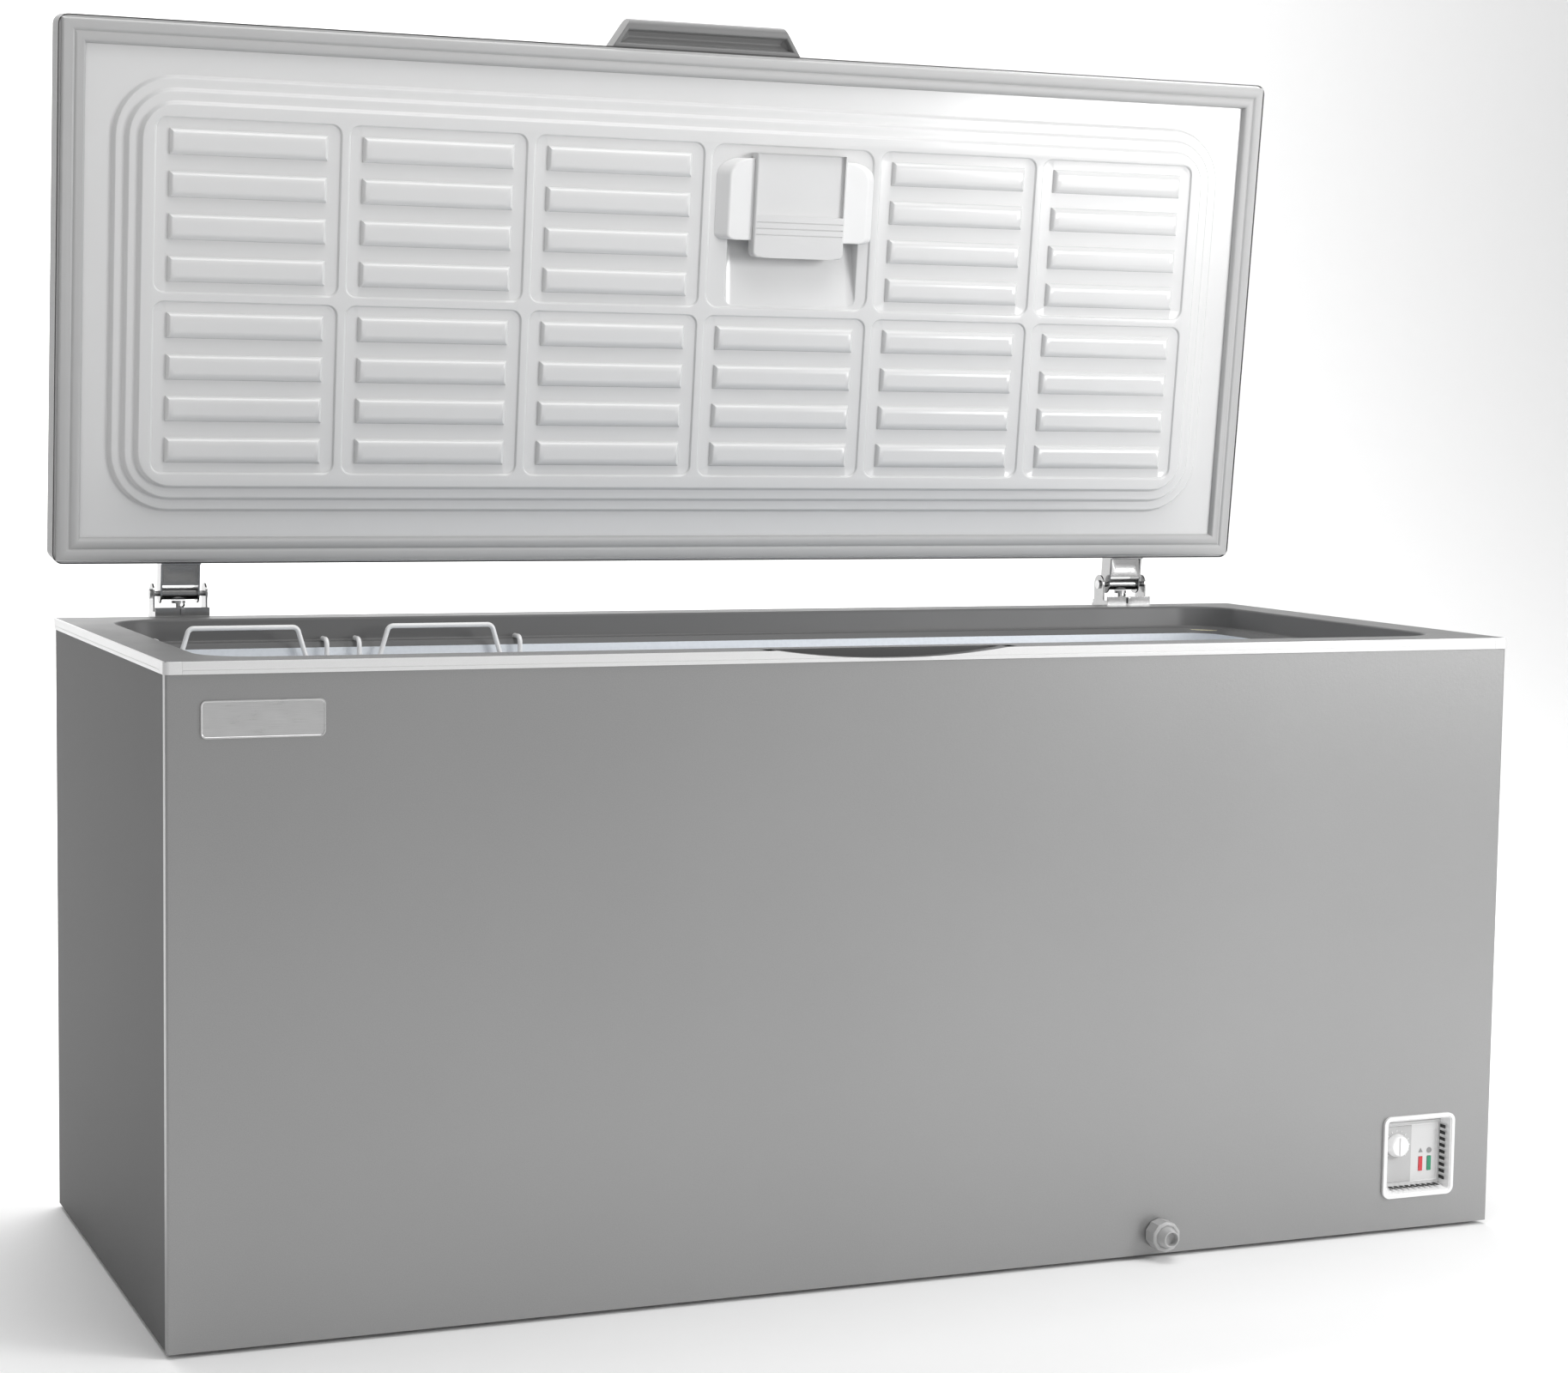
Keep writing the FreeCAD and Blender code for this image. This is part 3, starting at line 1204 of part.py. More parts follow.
doc.recompute()
for item in doc.Objects:
    if "Invalid" in item.State or "Error" in item.State:
        raise RuntimeError(f"{item.Name} is in state {item.State}")
os.makedirs("parts", exist_ok=True)
for node in nodes:
    if node.Shape.isNull() or not node.Shape.isValid():
        raise RuntimeError(f"{node.Label} has no valid shape")
    node.Shape.exportStep(f"parts/{node.Label}.step")
print(len(nodes), "sub-parts written")
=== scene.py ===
import json
import logging
import math
from abc import ABC, abstractmethod
from collections.abc import Callable, Iterable, Sequence
from dataclasses import dataclass, field
from enum import Enum
from typing import Any

import bmesh
import bpy
from mathutils import Matrix, Vector


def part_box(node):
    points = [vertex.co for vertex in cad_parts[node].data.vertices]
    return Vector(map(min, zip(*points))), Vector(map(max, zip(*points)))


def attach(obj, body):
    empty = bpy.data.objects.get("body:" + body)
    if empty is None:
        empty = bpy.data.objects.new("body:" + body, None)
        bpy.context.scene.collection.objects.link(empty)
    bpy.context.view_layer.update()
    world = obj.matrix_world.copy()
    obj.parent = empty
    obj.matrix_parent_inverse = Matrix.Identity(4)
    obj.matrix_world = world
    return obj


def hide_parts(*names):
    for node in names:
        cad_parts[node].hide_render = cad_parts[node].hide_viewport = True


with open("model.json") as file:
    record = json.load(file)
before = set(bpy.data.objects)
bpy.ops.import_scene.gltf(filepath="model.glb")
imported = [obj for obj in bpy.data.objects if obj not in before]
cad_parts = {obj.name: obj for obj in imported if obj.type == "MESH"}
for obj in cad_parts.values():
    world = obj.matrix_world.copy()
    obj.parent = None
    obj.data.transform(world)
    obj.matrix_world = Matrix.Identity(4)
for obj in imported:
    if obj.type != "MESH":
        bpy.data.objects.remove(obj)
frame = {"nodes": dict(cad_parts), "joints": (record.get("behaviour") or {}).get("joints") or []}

log = logging.getLogger("chest_freezer")
logging.basicConfig(level=logging.INFO, format="%(message)s")

Colour = tuple[float, float, float]
Place = tuple[float, float, float]
Profile = tuple[tuple[float, float], ...]
Test = Callable[[Vector, Vector], bool]
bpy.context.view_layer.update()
MM = 0.001

# Tolerances in metres, and the cosine past which two directions count as one.
WELD = 5e-6
TOUCH = 1e-5
NEAR = 1e-4
LOOSE = 1e-3
ALIGNED = 0.99


def tone(level: float, tint: Colour = (1.0, 1.0, 1.0)) -> Colour:
    """Linear colour of a screen grey from 0 to 255, with a tint.

    Args:
        level: Brightness as it is read on a screen.
        tint: Factors of red, green and blue.

    Returns:
        Linear red, green and blue.
    """
    share = level / 255
    linear = share / 12.92 if share <= 0.04045 else ((share + 0.055) / 1.055) ** 2.4
    return tuple(linear * factor for factor in tint)


# ------------------------------------------------------------------ places


@dataclass(frozen=True)
class Box:
    """Lowest and highest corners of a piece."""

    low: Vector
    high: Vector

    @property
    def size(self) -> Vector:
        """Length of the box along each axis."""
        return self.high - self.low

    @property
    def middle(self) -> Vector:
        """Centre of the box."""
        return (self.low + self.high) / 2


def box_of(node: str) -> Box:
    """Box of a CAD node at rest."""
    return Box(*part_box(node))


def joint_named(name: str) -> dict[str, Any]:
    """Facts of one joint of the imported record."""
    return next(joint for joint in frame["joints"] if joint["name"] == name)


class LidPose:
    """Turn that takes the closed lid to the open place it is shown in."""

    def __init__(self) -> None:
        """Read the lid's joint."""
        hinge = joint_named("lid_hinge")
        pivot = Vector(hinge["pos_m"])
        turn = Matrix.Rotation(math.radians(hinge["range_deg"][0]), 4, "X")
        self.opening = Matrix.Translation(pivot) @ turn @ Matrix.Translation(-pivot)

    def closed_box(self, node: str) -> Box:
        """Box of a lid node with the lid shut.

        Args:
            node: Name of a CAD node that rides on the lid.

        Returns:
            Its box in the closed place.
        """
        shutting = self.opening.inverted()
        points = [shutting @ vertex.co for vertex in frame["nodes"][node].data.vertices]
        low = Vector([min(point[i] for point in points) for i in range(3)])
        high = Vector([max(point[i] for point in points) for i in range(3)])
        return Box(low, high)


# --------------------------------------------------------------- shader maths


class Signal:
    """Number from a shader node that takes part in plain arithmetic."""

    def __init__(self, recipe: "Recipe", socket: bpy.types.NodeSocket) -> None:
        """Keep the recipe that holds the node, and the node's socket."""
        self.recipe = recipe
        self.socket = socket

    def _maths(self, operation: str, *values: Any) -> "Signal":
        """Result of one Math node."""
        inputs = dict(enumerate(values))
        made = self.recipe.node("ShaderNodeMath", {"operation": operation}, inputs)
        return Signal(self.recipe, made.outputs[0])

    def __add__(self, other: Any) -> "Signal":
        """Sum."""
        return self._maths("ADD", self, other)

    __radd__ = __add__

    def __sub__(self, other: Any) -> "Signal":
        """Difference."""
        return self._maths("SUBTRACT", self, other)

    def __rsub__(self, other: Any) -> "Signal":
        """Difference from a plain value."""
        return self._maths("SUBTRACT", other, self)

    def __mul__(self, other: Any) -> "Signal":
        """Product."""
        return self._maths("MULTIPLY", self, other)

    __rmul__ = __mul__

    def wave(self) -> "Signal":
        """Sine of the value."""
        return self._maths("SINE", self)


class Recipe:
    """Node tree of one material, from its pattern space to its shader."""

    def __init__(self, name: str) -> None:
        """Start a material with its shader and its pattern space."""
        self.material = bpy.data.materials.new(name)
        self.material.use_nodes = True
        self.tree = self.material.node_tree
        self.tree.nodes.clear()
        self.shader = self.node("ShaderNodeBsdfPrincipled")
        self.node("ShaderNodeOutputMaterial", inputs={"Surface": self.shader.outputs[0]})
        self.place = self.node("ShaderNodeTexCoord").outputs["Object"]

    def node(self, kind: str, settings: dict[str, Any] | None = None,
             inputs: dict[str | int, Any] | None = None) -> bpy.types.Node:
        """Add a node, set it up and feed its sockets.

        Args:
            kind: Blender's name of the node's type.
            settings: Properties of the node, set first.
            inputs: Values, sockets or signals by socket name or number.

        Returns:
            The new node.
        """
        made = self.tree.nodes.new(kind)
        for key, value in (settings or {}).items():
            setattr(made, key, value)
        for key, value in (inputs or {}).items():
            self.feed(made.inputs[key], value)
        return made

    def feed(self, socket: bpy.types.NodeSocket, value: Any) -> None:
        """Link a socket or signal to a socket, or set a plain value on it.

        Args:
            socket: Socket to feed.
            value: Its source or value.
        """
        source = value.socket if isinstance(value, Signal) else value
        if isinstance(source, bpy.types.NodeSocket):
            self.tree.links.new(source, socket)
        else:
            socket.default_value = source

    def stretched(self, factors: Place) -> bpy.types.NodeSocket:
        """Pattern space scaled by a factor along each axis."""
        inputs = {"Vector": self.place, "Scale": factors}
        return self.node("ShaderNodeMapping", inputs=inputs).outputs[0]

    def noise(self, scale: float, detail: float = 2.0, factors: Place | None = None) -> Signal:
        """Cloudy pattern between 0 and 1.

        Args:
            scale: Lumps per metre.
            detail: Number of finer layers.
            factors: Stretch along each axis, if any.

        Returns:
            The pattern.
        """
        space = self.place if factors is None else self.stretched(factors)
        inputs = {"Vector": space, "Scale": scale, "Detail": detail}
        return Signal(self, self.node("ShaderNodeTexNoise", inputs=inputs).outputs[0])

    def cells(self, scale: float) -> Signal:
        """Distance to the middle of the nearest of many cells."""
        made = self.node("ShaderNodeTexVoronoi", inputs={"Vector": self.place, "Scale": scale})
        return Signal(self, made.outputs["Distance"])

    def along(self, axis: int) -> Signal:
        """Place along one axis, in metres."""
        made = self.node("ShaderNodeSeparateXYZ", inputs={0: self.place})
        return Signal(self, made.outputs[axis])

    def blend(self, share: Signal, first: Colour, second: Colour) -> bpy.types.NodeSocket:
        """Colour between two others.

        Args:
            share: How far it is from the first to the second, from 0 to 1.
            first: Linear colour at 0.
            second: Linear colour at 1.

        Returns:
            The colour's socket.
        """
        made = self.node("ShaderNodeMix", {"data_type": "RGBA", "clamp_factor": True},
                         {0: share, 6: (*first, 1.0), 7: (*second, 1.0)})
        return made.outputs[2]

    def dress(self, **values: Any) -> None:
        """Feed the shader's sockets, named with underscores for spaces."""
        for key, value in values.items():
            self.feed(self.shader.inputs[key.replace("_", " ")], value)

    def relief(self, height: Signal, distance: float) -> None:
        """Fine relief of the surface from a height pattern.

        Args:
            height: Pattern from 0 to 1.
            distance: Height of the pattern's full range, in metres.
        """
        made = self.node("ShaderNodeBump", inputs={"Height": height, "Distance": distance})
        self.dress(Normal=made.outputs[0])


# -------------------------------------------------------------------- finishes


@dataclass(frozen=True)
class Finish(ABC):
    """Surface of one kind of piece.

    Attributes:
        title: Name of the material.
        colour: Linear colour.
        roughness: Mean roughness.
    """

    title: str
    colour: Colour
    roughness: float = 0.5

    def material(self) -> bpy.types.Material:
        """Material of this finish, made at its first use."""
        made = bpy.data.materials.get(self.title)
        if made is None:
            recipe = Recipe(self.title)
            self.describe(recipe)
            made = recipe.material
        return made

    def shade(self, factor: float) -> Colour:
        """The finish's colour times a factor."""
        return tuple(min(1.0, part * factor) for part in self.colour)

    def varied(self, recipe: Recipe, share: Signal, contrast: float) -> bpy.types.NodeSocket:
        """The finish's colour, darker and lighter by a contrast as a pattern says."""
        return recipe.blend(share, self.shade(1 - contrast), self.shade(1 + contrast))

    def uneven(self, pattern: Signal, spread: float) -> Signal:
        """Roughness that a pattern spreads about its mean."""
        return self.roughness + pattern * spread - spread / 2

    @abstractmethod
    def describe(self, recipe: Recipe) -> None:
        """Lay the finish out.

        Args:
            recipe: Node tree to fill.
        """


@dataclass(frozen=True)
class PaintedSheet(Finish):
    """Stoved paint with fine flakes over sheet steel."""

    metallic: float = 0.45
    flake: float = 900.0
    contrast: float = 0.16
    clear: float = 0.25

    def describe(self, recipe: Recipe) -> None:
        """Flakes in the colour, orange peel in the relief."""
        flakes = recipe.noise(self.flake, 1.0)
        clouds = recipe.noise(3.0, 3.0)
        base = self.varied(recipe, flakes * 0.75 + clouds * 0.25, self.contrast)
        recipe.dress(Base_Color=base, Roughness=self.uneven(flakes, 0.12),
                     Metallic=self.metallic, Coat_Weight=self.clear, Coat_Roughness=0.3)
        recipe.relief(recipe.noise(240.0, 2.0) * 0.7 + flakes * 0.3, 0.00012)


@dataclass(frozen=True)
class Moulding(Finish):
    """Moulded plastic with a spark-eroded grain."""

    grain: float = 1300.0
    relief: float = 0.00006
    mottle: float = 0.04
    clear: float = 0.0
    gloss: float = 0.5

    def describe(self, recipe: Recipe) -> None:
        """Fine grain, faint flow marks and uneven gloss."""
        grain = recipe.noise(self.grain, 2.0)
        flow = recipe.noise(14.0, 3.0)
        base = self.varied(recipe, flow * 0.6 + grain * 0.4, self.mottle)
        recipe.dress(Base_Color=base, Roughness=self.uneven(flow, 0.1), Coat_Weight=self.clear,
                     Coat_Roughness=0.12, Specular_IOR_Level=self.gloss)
        recipe.relief(grain * 0.6 + recipe.noise(60.0, 2.0) * 0.4, self.relief)


class Lay(Enum):
    """Direction of the fine lines on worked metal, as stretch factors."""

    NONE = (1.0, 1.0, 1.0)
    ALONG_X = (0.02, 1.0, 1.0)
    ALONG_Z = (1.0, 1.0, 0.02)


@dataclass(frozen=True)
class Metal(Finish):
    """Bare, plated or brushed metal."""

    lay: Lay = Lay.NONE
    line: float = 1800.0
    contrast: float = 0.12
    relief: float = 0.00003

    def describe(self, recipe: Recipe) -> None:
        """Fine lines along the lay, with handling marks."""
        lines = recipe.noise(self.line, 2.0, self.lay.value)
        marks = recipe.noise(35.0, 4.0)
        base = self.varied(recipe, lines * 0.7 + marks * 0.3, self.contrast)
        recipe.dress(Base_Color=base, Metallic=1.0,
                     Roughness=self.roughness + lines * 0.12 + marks * 0.1 - 0.11)
        recipe.relief(lines, self.relief)


@dataclass(frozen=True)
class Spangle(Finish):
    """Zinc-dipped sheet with its crystal pattern."""

    def describe(self, recipe: Recipe) -> None:
        """Crystals in the colour and the gloss."""
        crystals = recipe.cells(60.0)
        fine = recipe.noise(700.0, 2.0)
        base = recipe.blend(crystals * 0.8 + fine * 0.2, self.shade(0.8), self.shade(1.15))
        recipe.dress(Base_Color=base, Metallic=0.85, Roughness=self.uneven(crystals, 0.2))
        recipe.relief(fine, 0.00004)


@dataclass(frozen=True)
class Rubber(Finish):
    """Soft seal or foot with a dusty bloom."""

    bloom: float = 0.1

    def describe(self, recipe: Recipe) -> None:
        """Bloom in patches and a fine pebble relief."""
        patches = recipe.noise(22.0, 4.0)
        pebble = recipe.noise(1500.0, 1.0)
        base = self.varied(recipe, patches, self.bloom)
        recipe.dress(Base_Color=base, Roughness=self.uneven(patches, 0.14))
        recipe.relief(pebble * 0.5 + recipe.noise(90.0, 2.0) * 0.5, 0.00008)


@dataclass(frozen=True)
class Foam(Finish):
    """Cut face of rigid insulating foam."""

    def describe(self, recipe: Recipe) -> None:
        """Open cells with yellowed patches."""
        pores = recipe.cells(800.0)
        age = recipe.noise(9.0, 3.0)
        base = recipe.blend(pores * 0.6 + age * 0.4, self.shade(0.78), self.shade(1.1))
        recipe.dress(Base_Color=base, Roughness=self.roughness + age * 0.06)
        recipe.relief(pores, 0.0004)


@dataclass(frozen=True)
class Embossed(Finish):
    """Bright coated sheet with a shallow stucco pattern."""

    def describe(self, recipe: Recipe) -> None:
        """Stucco relief under a satin coat."""
        stucco = recipe.cells(170.0)
        clouds = recipe.noise(6.0, 3.0)
        base = self.varied(recipe, stucco * 0.5 + clouds * 0.5, 0.05)
        recipe.dress(Base_Color=base, Metallic=0.1, Roughness=self.uneven(clouds, 0.1))
        recipe.relief(stucco, 0.0002)


@dataclass(frozen=True)
class Lens(Finish):
    """Coloured lamp lens with fine upright ribs."""

    def describe(self, recipe: Recipe) -> None:
        """Ribs in the relief and in the depth of the colour."""
        ribs = (recipe.along(0) * 5200.0).wave() * 0.5 + 0.5
        haze = recipe.noise(120.0, 2.0)
        base = recipe.blend(ribs * 0.6 + haze * 0.4, self.shade(0.7), self.shade(1.2))
        recipe.dress(Base_Color=base, Emission_Color=base, Emission_Strength=0.02,
                     Roughness=self.roughness + haze * 0.08, Coat_Weight=0.6, Coat_Roughness=0.05)
        recipe.relief(ribs, 0.0001)


class Palette:
    """Every finish of the freezer."""

    CABINET = PaintedSheet("grey flake paint", tone(154), 0.36, metallic=0.6)
    # Side sheets: a darker, duller copy of the cabinet paint, which is painted shade for the shade the
    # sides stand in.
    SIDE_SHEET_PAINTED_SHADE = PaintedSheet("side sheet painted shade", tone(84), 0.6, metallic=0.15, clear=0.0)
    LID_SKIN = PaintedSheet("dark flake paint", tone(72), 0.4)
    BLACK_PAINT = PaintedSheet("black stove paint", tone(26), 0.3, metallic=0.0, contrast=0.2)
    RELAY = Moulding("relay plastic", tone(46), 0.55)
    COLLAR = Moulding("grey collar plastic", tone(100), 0.38, mottle=0.03, gloss=0.25)
    SCOOP = Moulding("scoop plastic", tone(74), 0.45)
    TRIM = PaintedSheet("silver trim", tone(226), 0.32, metallic=0.2, contrast=0.05)
    WHITE = Moulding("white plastic", tone(236), 0.34, clear=0.15)
    LID_WHITE = Moulding("lid sheet", tone(222), 0.22, grain=900.0, relief=0.00004, mottle=0.015,
                         clear=0.35)
    LAMP = Moulding("lamp plastic", tone(218), 0.38)
    GREY_PANEL = Moulding("fascia grey", tone(186), 0.5)
    GREY_PANEL_LIGHT = Moulding("fascia light grey", tone(212), 0.48)
    DARK_SLOT = Moulding("slot shadow", tone(38), 0.7)
    INK = Moulding("printed grey", tone(150), 0.6)
    PAD = Rubber("gasket rubber", tone(184), 0.5, bloom=0.03)
    SEAL_WHITE = Rubber("white rubber", tone(226), 0.6, bloom=0.03)
    BLACK_RUBBER = Rubber("black rubber", tone(38), 0.75)
    HANDLE = Moulding("handle grey", tone(124), 0.4)
    KNOB = Moulding("knob grey", tone(178), 0.35, clear=0.2)
    CHROME = Metal("bright plating", tone(165), 0.2, contrast=0.25, relief=0.00001)
    ZINC = Metal("zinc plating", tone(205), 0.34, contrast=0.1)
    PLATE = Metal("brushed plate", tone(212), 0.3, lay=Lay.ALONG_X, contrast=0.16)
    COPPER = Metal("drawn copper", tone(214, (1.0, 0.52, 0.34)), 0.3, lay=Lay.ALONG_Z)
    GALVANISED = Spangle("dipped zinc sheet", tone(196), 0.4)
    FOAM = Foam("insulating foam", tone(228, (1.0, 0.92, 0.62)), 0.85)
    LINER = Embossed("tub sheet", tone(236, (0.94, 0.98, 1.03)), 0.38)
    WIRE = Moulding("wire coating", tone(236), 0.3, grain=500.0, clear=0.3)
    BOARD = Moulding("lamp board", tone(220, (0.98, 1.0, 0.94)), 0.5)
    RED = Lens("red lens", tone(205, (1.0, 0.03, 0.05)), 0.2)
    GREEN = Lens("green lens", tone(140, (0.02, 1.0, 0.48)), 0.2)


SLOT_FINISH: dict[str, Finish] = {
    "grey_paint": Palette.CABINET, "galvanised": Palette.GALVANISED,
    "black_rubber": Palette.BLACK_RUBBER, "foam": Palette.FOAM, "liner_sheet": Palette.LINER, "grey_plastic": Palette.COLLAR,
    "trim_silver": Palette.TRIM, "dark_plastic": Palette.SCOOP, "copper": Palette.COPPER,
    "plate_metal": Palette.PLATE, "white_plastic": Palette.WHITE, "fascia_grey": Palette.GREY_PANEL_LIGHT,
    "red_lens": Palette.RED, "green_lens": Palette.GREEN, "relay_plastic": Palette.RELAY,
    "knob_grey": Palette.KNOB, "soft_white": Palette.SEAL_WHITE, "black_paint": Palette.BLACK_PAINT,
    "screw_steel": Palette.ZINC, "zinc": Palette.CHROME, "lid_paint": Palette.LID_SKIN,
    "lid_white": Palette.LID_WHITE, "gasket_grey": Palette.PAD, "handle_grey": Palette.HANDLE,
    "lamp_clear": Palette.LAMP, "board_white": Palette.BOARD, "wire_white": Palette.WIRE,
}

# The side panels take the darker copy of the cabinet paint: painted shade on the sides.
NODE_FINISH: dict[str, Finish] = {
    "left_panel": Palette.SIDE_SHEET_PAINTED_SHADE, "right_panel": Palette.SIDE_SHEET_PAINTED_SHADE,
}


# ------------------------------------------------------------------- workbench


class Kind(Enum):
    """What a selection is made of, as Blender's three select modes."""

    POINT = (True, False, False)
    EDGE = (False, True, False)
    FACE = (False, False, True)


@dataclass(frozen=True)
class Outline:
    """Flat rectangle with round corners."""

    low: tuple[float, float]
    high: tuple[float, float]
    radius: float
    level: float

    def inside(self, margin: float, radius: float, level: float) -> "Outline":
        """Outline at a margin inside this one.

        Args:
            margin: Distance between the two outlines.
            radius: Corner radius of the new outline.
            level: Its height.

        Returns:
            The new outline.
        """
        low = (self.low[0] + margin, self.low[1] + margin)
        high = (self.high[0] - margin, self.high[1] - margin)
        return Outline(low, high, radius, level)


def anywhere(place: Vector, way: Vector) -> bool:
    """Test that every element passes."""
    return True


def facing(axis: int, sign: int) -> Test:
    """Test for faces that look along an axis.

    Args:
        axis: Number of the axis.
        sign: Its sense, 1 or -1.

    Returns:
        The test.
    """
    return lambda place, way: way[axis] * sign > ALIGNED


def running(axis: int) -> Test:
    """Test for edges that run along an axis."""
    return lambda place, way: abs(way[axis]) > ALIGNED


def quarter_round(parts: int) -> Profile:
    """Run and fall of each part of a quarter round of radius 1 that starts level.

    Args:
        parts: Number of parts.

    Returns:
        A pair for each part.
    """
    turns = [math.pi / 2 * k / parts for k in range(parts + 1)]
    return tuple((math.sin(second) - math.sin(first), math.cos(first) - math.cos(second))
                 for first, second in zip(turns, turns[1:]))


def smooth_step(parts: int) -> list[float]:
    """Share of a smooth step's height that each of its parts takes."""
    heights = [math.cos(math.pi * k / parts) for k in range(parts + 1)]
    return [(first - second) / 2 for first, second in zip(heights, heights[1:])]


class Workpiece:
    """Mesh shaped with edit-mode operators, as on a bench."""

    def __init__(self, name: str) -> None:
        """Take the active object and name it."""
        self.item = bpy.context.active_object
        self.item.name = name
        self.item.data.name = name

    @staticmethod
    def clear_bench() -> None:
        """Leave edit mode and deselect everything."""
        if bpy.context.mode != "OBJECT":
            bpy.ops.object.mode_set(mode="OBJECT")
        bpy.ops.object.select_all(action="DESELECT")

    @classmethod
    def block(cls, name: str, box: Box) -> "Workpiece":
        """Block that fills a box.

        Args:
            name: Name of the piece.
            box: Space to fill.

        Returns:
            The new piece.
        """
        cls.clear_bench()
        bpy.ops.mesh.primitive_cube_add(size=1, location=box.middle, scale=box.size)
        bpy.ops.object.transform_apply(location=True, rotation=True, scale=True)
        return cls(name)

    @classmethod
    def plate(cls, name: str, outline: Outline, segments: int = 10) -> "Workpiece":
        """Flat face that looks up, with round corners.

        Args:
            name: Name of the piece.
            outline: Its outline.
            segments: Parts of each corner.

        Returns:
            The new piece, its face selected.
        """
        cls.clear_bench()
        middle = [(a + b) / 2 for a, b in zip(outline.low, outline.high)]
        spans = [b - a for a, b in zip(outline.low, outline.high)]
        bpy.ops.mesh.primitive_plane_add(size=1, location=(*middle, outline.level))
        bpy.context.active_object.scale = (*spans, 1)
        bpy.ops.object.transform_apply(location=True, rotation=True, scale=True)
        made = cls(name)
        if outline.radius > 0:
            made.choose(Kind.POINT).bevel(outline.radius, segments, points=True)
        return made.choose(Kind.FACE)

    @classmethod
    def ring(cls, name: str, outer: Outline, inner: Outline, segments: int = 10) -> "Workpiece":
        """Flat ring between two outlines, with the inner face kept and selected.

        Args:
            name: Name of the piece.
            outer: Outer outline.
            inner: Inner outline.
            segments: Parts of each corner.

        Returns:
            The new piece.
        """
        around = cls.plate("around", outer, segments)
        bpy.ops.mesh.delete(type="ONLY_FACE")
        made = cls.plate(name, inner, segments)
        made.take_in([around]).fill_gap(outer.level).agree(up=True)
        return made.choose(Kind.FACE, lambda place, way: (
            abs(place.x - (inner.low[0] + inner.high[0]) / 2) < NEAR
            and abs(place.y - (inner.low[1] + inner.high[1]) / 2) < NEAR))

    @classmethod
    def rod(cls, name: str, radius: float, start: Vector, end: Vector, sides: int = 24,
            tip: float | None = None) -> "Workpiece":
        """Round bar or cone between two points.

        Args:
            name: Name of the piece.
            radius: Radius at the start.
            start: Middle of the first end.
            end: Middle of the second end.
            sides: Number of sides.
            tip: Radius at the end, where it differs.

        Returns:
            The new piece.
        """
        cls.clear_bench()
        way = end - start
        turn = way.to_track_quat("Z", "Y").to_euler()
        far = radius if tip is None else tip
        bpy.ops.mesh.primitive_cone_add(vertices=sides, radius1=radius, radius2=far, depth=way.length,
                                        location=(start + end) / 2, rotation=turn)
        bpy.ops.object.transform_apply(location=True, rotation=True, scale=True)
        return cls(name)

    @classmethod
    def after(cls, name: str, node: str) -> "Workpiece":
        """Copy of a CAD node with its loose triangles joined into flat faces.

        Args:
            name: Name of the piece.
            node: CAD node to start from.

        Returns:
            The new piece.
        """
        cls.clear_bench()
        source = frame["nodes"][node]
        copy = bpy.data.objects.new(name, source.data.copy())
        copy.data.materials.clear()
        bpy.context.scene.collection.objects.link(copy)
        bpy.context.view_layer.objects.active = copy
        copy.select_set(True)
        made = cls(name)
        made.choose(Kind.FACE)
        bpy.ops.mesh.remove_doubles(threshold=TOUCH)
        bpy.ops.mesh.dissolve_limited(angle_limit=math.radians(0.5))
        return made

    @staticmethod
    def joined(name: str, pieces: list["Workpiece"]) -> "Workpiece":
        """Pieces joined into the first of them, under a new name."""
        made = pieces[0].take_in(pieces[1:])
        made.item.name = name
        return made

    def hold(self) -> None:
        """Make this the only selected object, and the active one."""
        self.clear_bench()
        self.item.select_set(True)
        bpy.context.view_layer.objects.active = self.item

    def edit(self) -> None:
        """Open this piece alone in edit mode."""
        if bpy.context.mode == "EDIT_MESH" and bpy.context.active_object == self.item:
            return
        self.hold()
        bpy.ops.object.mode_set(mode="EDIT")

    def choose(self, kind: Kind, test: Test = anywhere) -> "Workpiece":
        """Select the elements that pass a test of their place and direction.

        Args:
            kind: Points, edges or faces.
            test: Gets the middle, and the normal or an edge's run.

        Returns:
            This piece.
        """
        self.edit()
        bpy.context.tool_settings.mesh_select_mode = kind.value
        bpy.ops.mesh.select_all(action="DESELECT")
        net = bmesh.from_edit_mesh(self.item.data)
        net.normal_update()
        if kind is Kind.POINT:
            for point in net.verts:
                point.select_set(test(point.co, point.normal))
        elif kind is Kind.EDGE:
            for edge in net.edges:
                first, second = (point.co for point in edge.verts)
                edge.select_set(test((first + second) / 2, (second - first).normalized()))
        else:
            for face in net.faces:
                face.select_set(test(face.calc_center_bounds(), face.normal))
        net.select_flush_mode()
        bmesh.update_edit_mesh(self.item.data)
        return self

    def inset(self, width: float, depth: float = 0.0, each: bool = False) -> "Workpiece":
        """Inset the chosen faces and move them along their normal."""
        bpy.ops.mesh.inset(thickness=width, depth=depth, use_individual=each, use_even_offset=True,
                           use_boundary=True)
        return self

    def steps(self, profile: Profile) -> "Workpiece":
        """Inset once for each pair of width and depth, given in millimetres."""
        for width, depth in profile:
            self.inset(width * MM, depth * MM)
        return self

    def bevel(self, width: float, segments: int = 3, points: bool = False) -> "Workpiece":
        """Round the chosen edges, or points of a flat face."""
        bpy.ops.mesh.bevel(offset=width, segments=segments, affect="VERTICES" if points else "EDGES")
        return self

    def extrude(self, move: Sequence[float]) -> "Workpiece":
        """Extrude the chosen part."""
        bpy.ops.mesh.extrude_region_move(TRANSFORM_OT_translate={"value": tuple(move)})
        return self

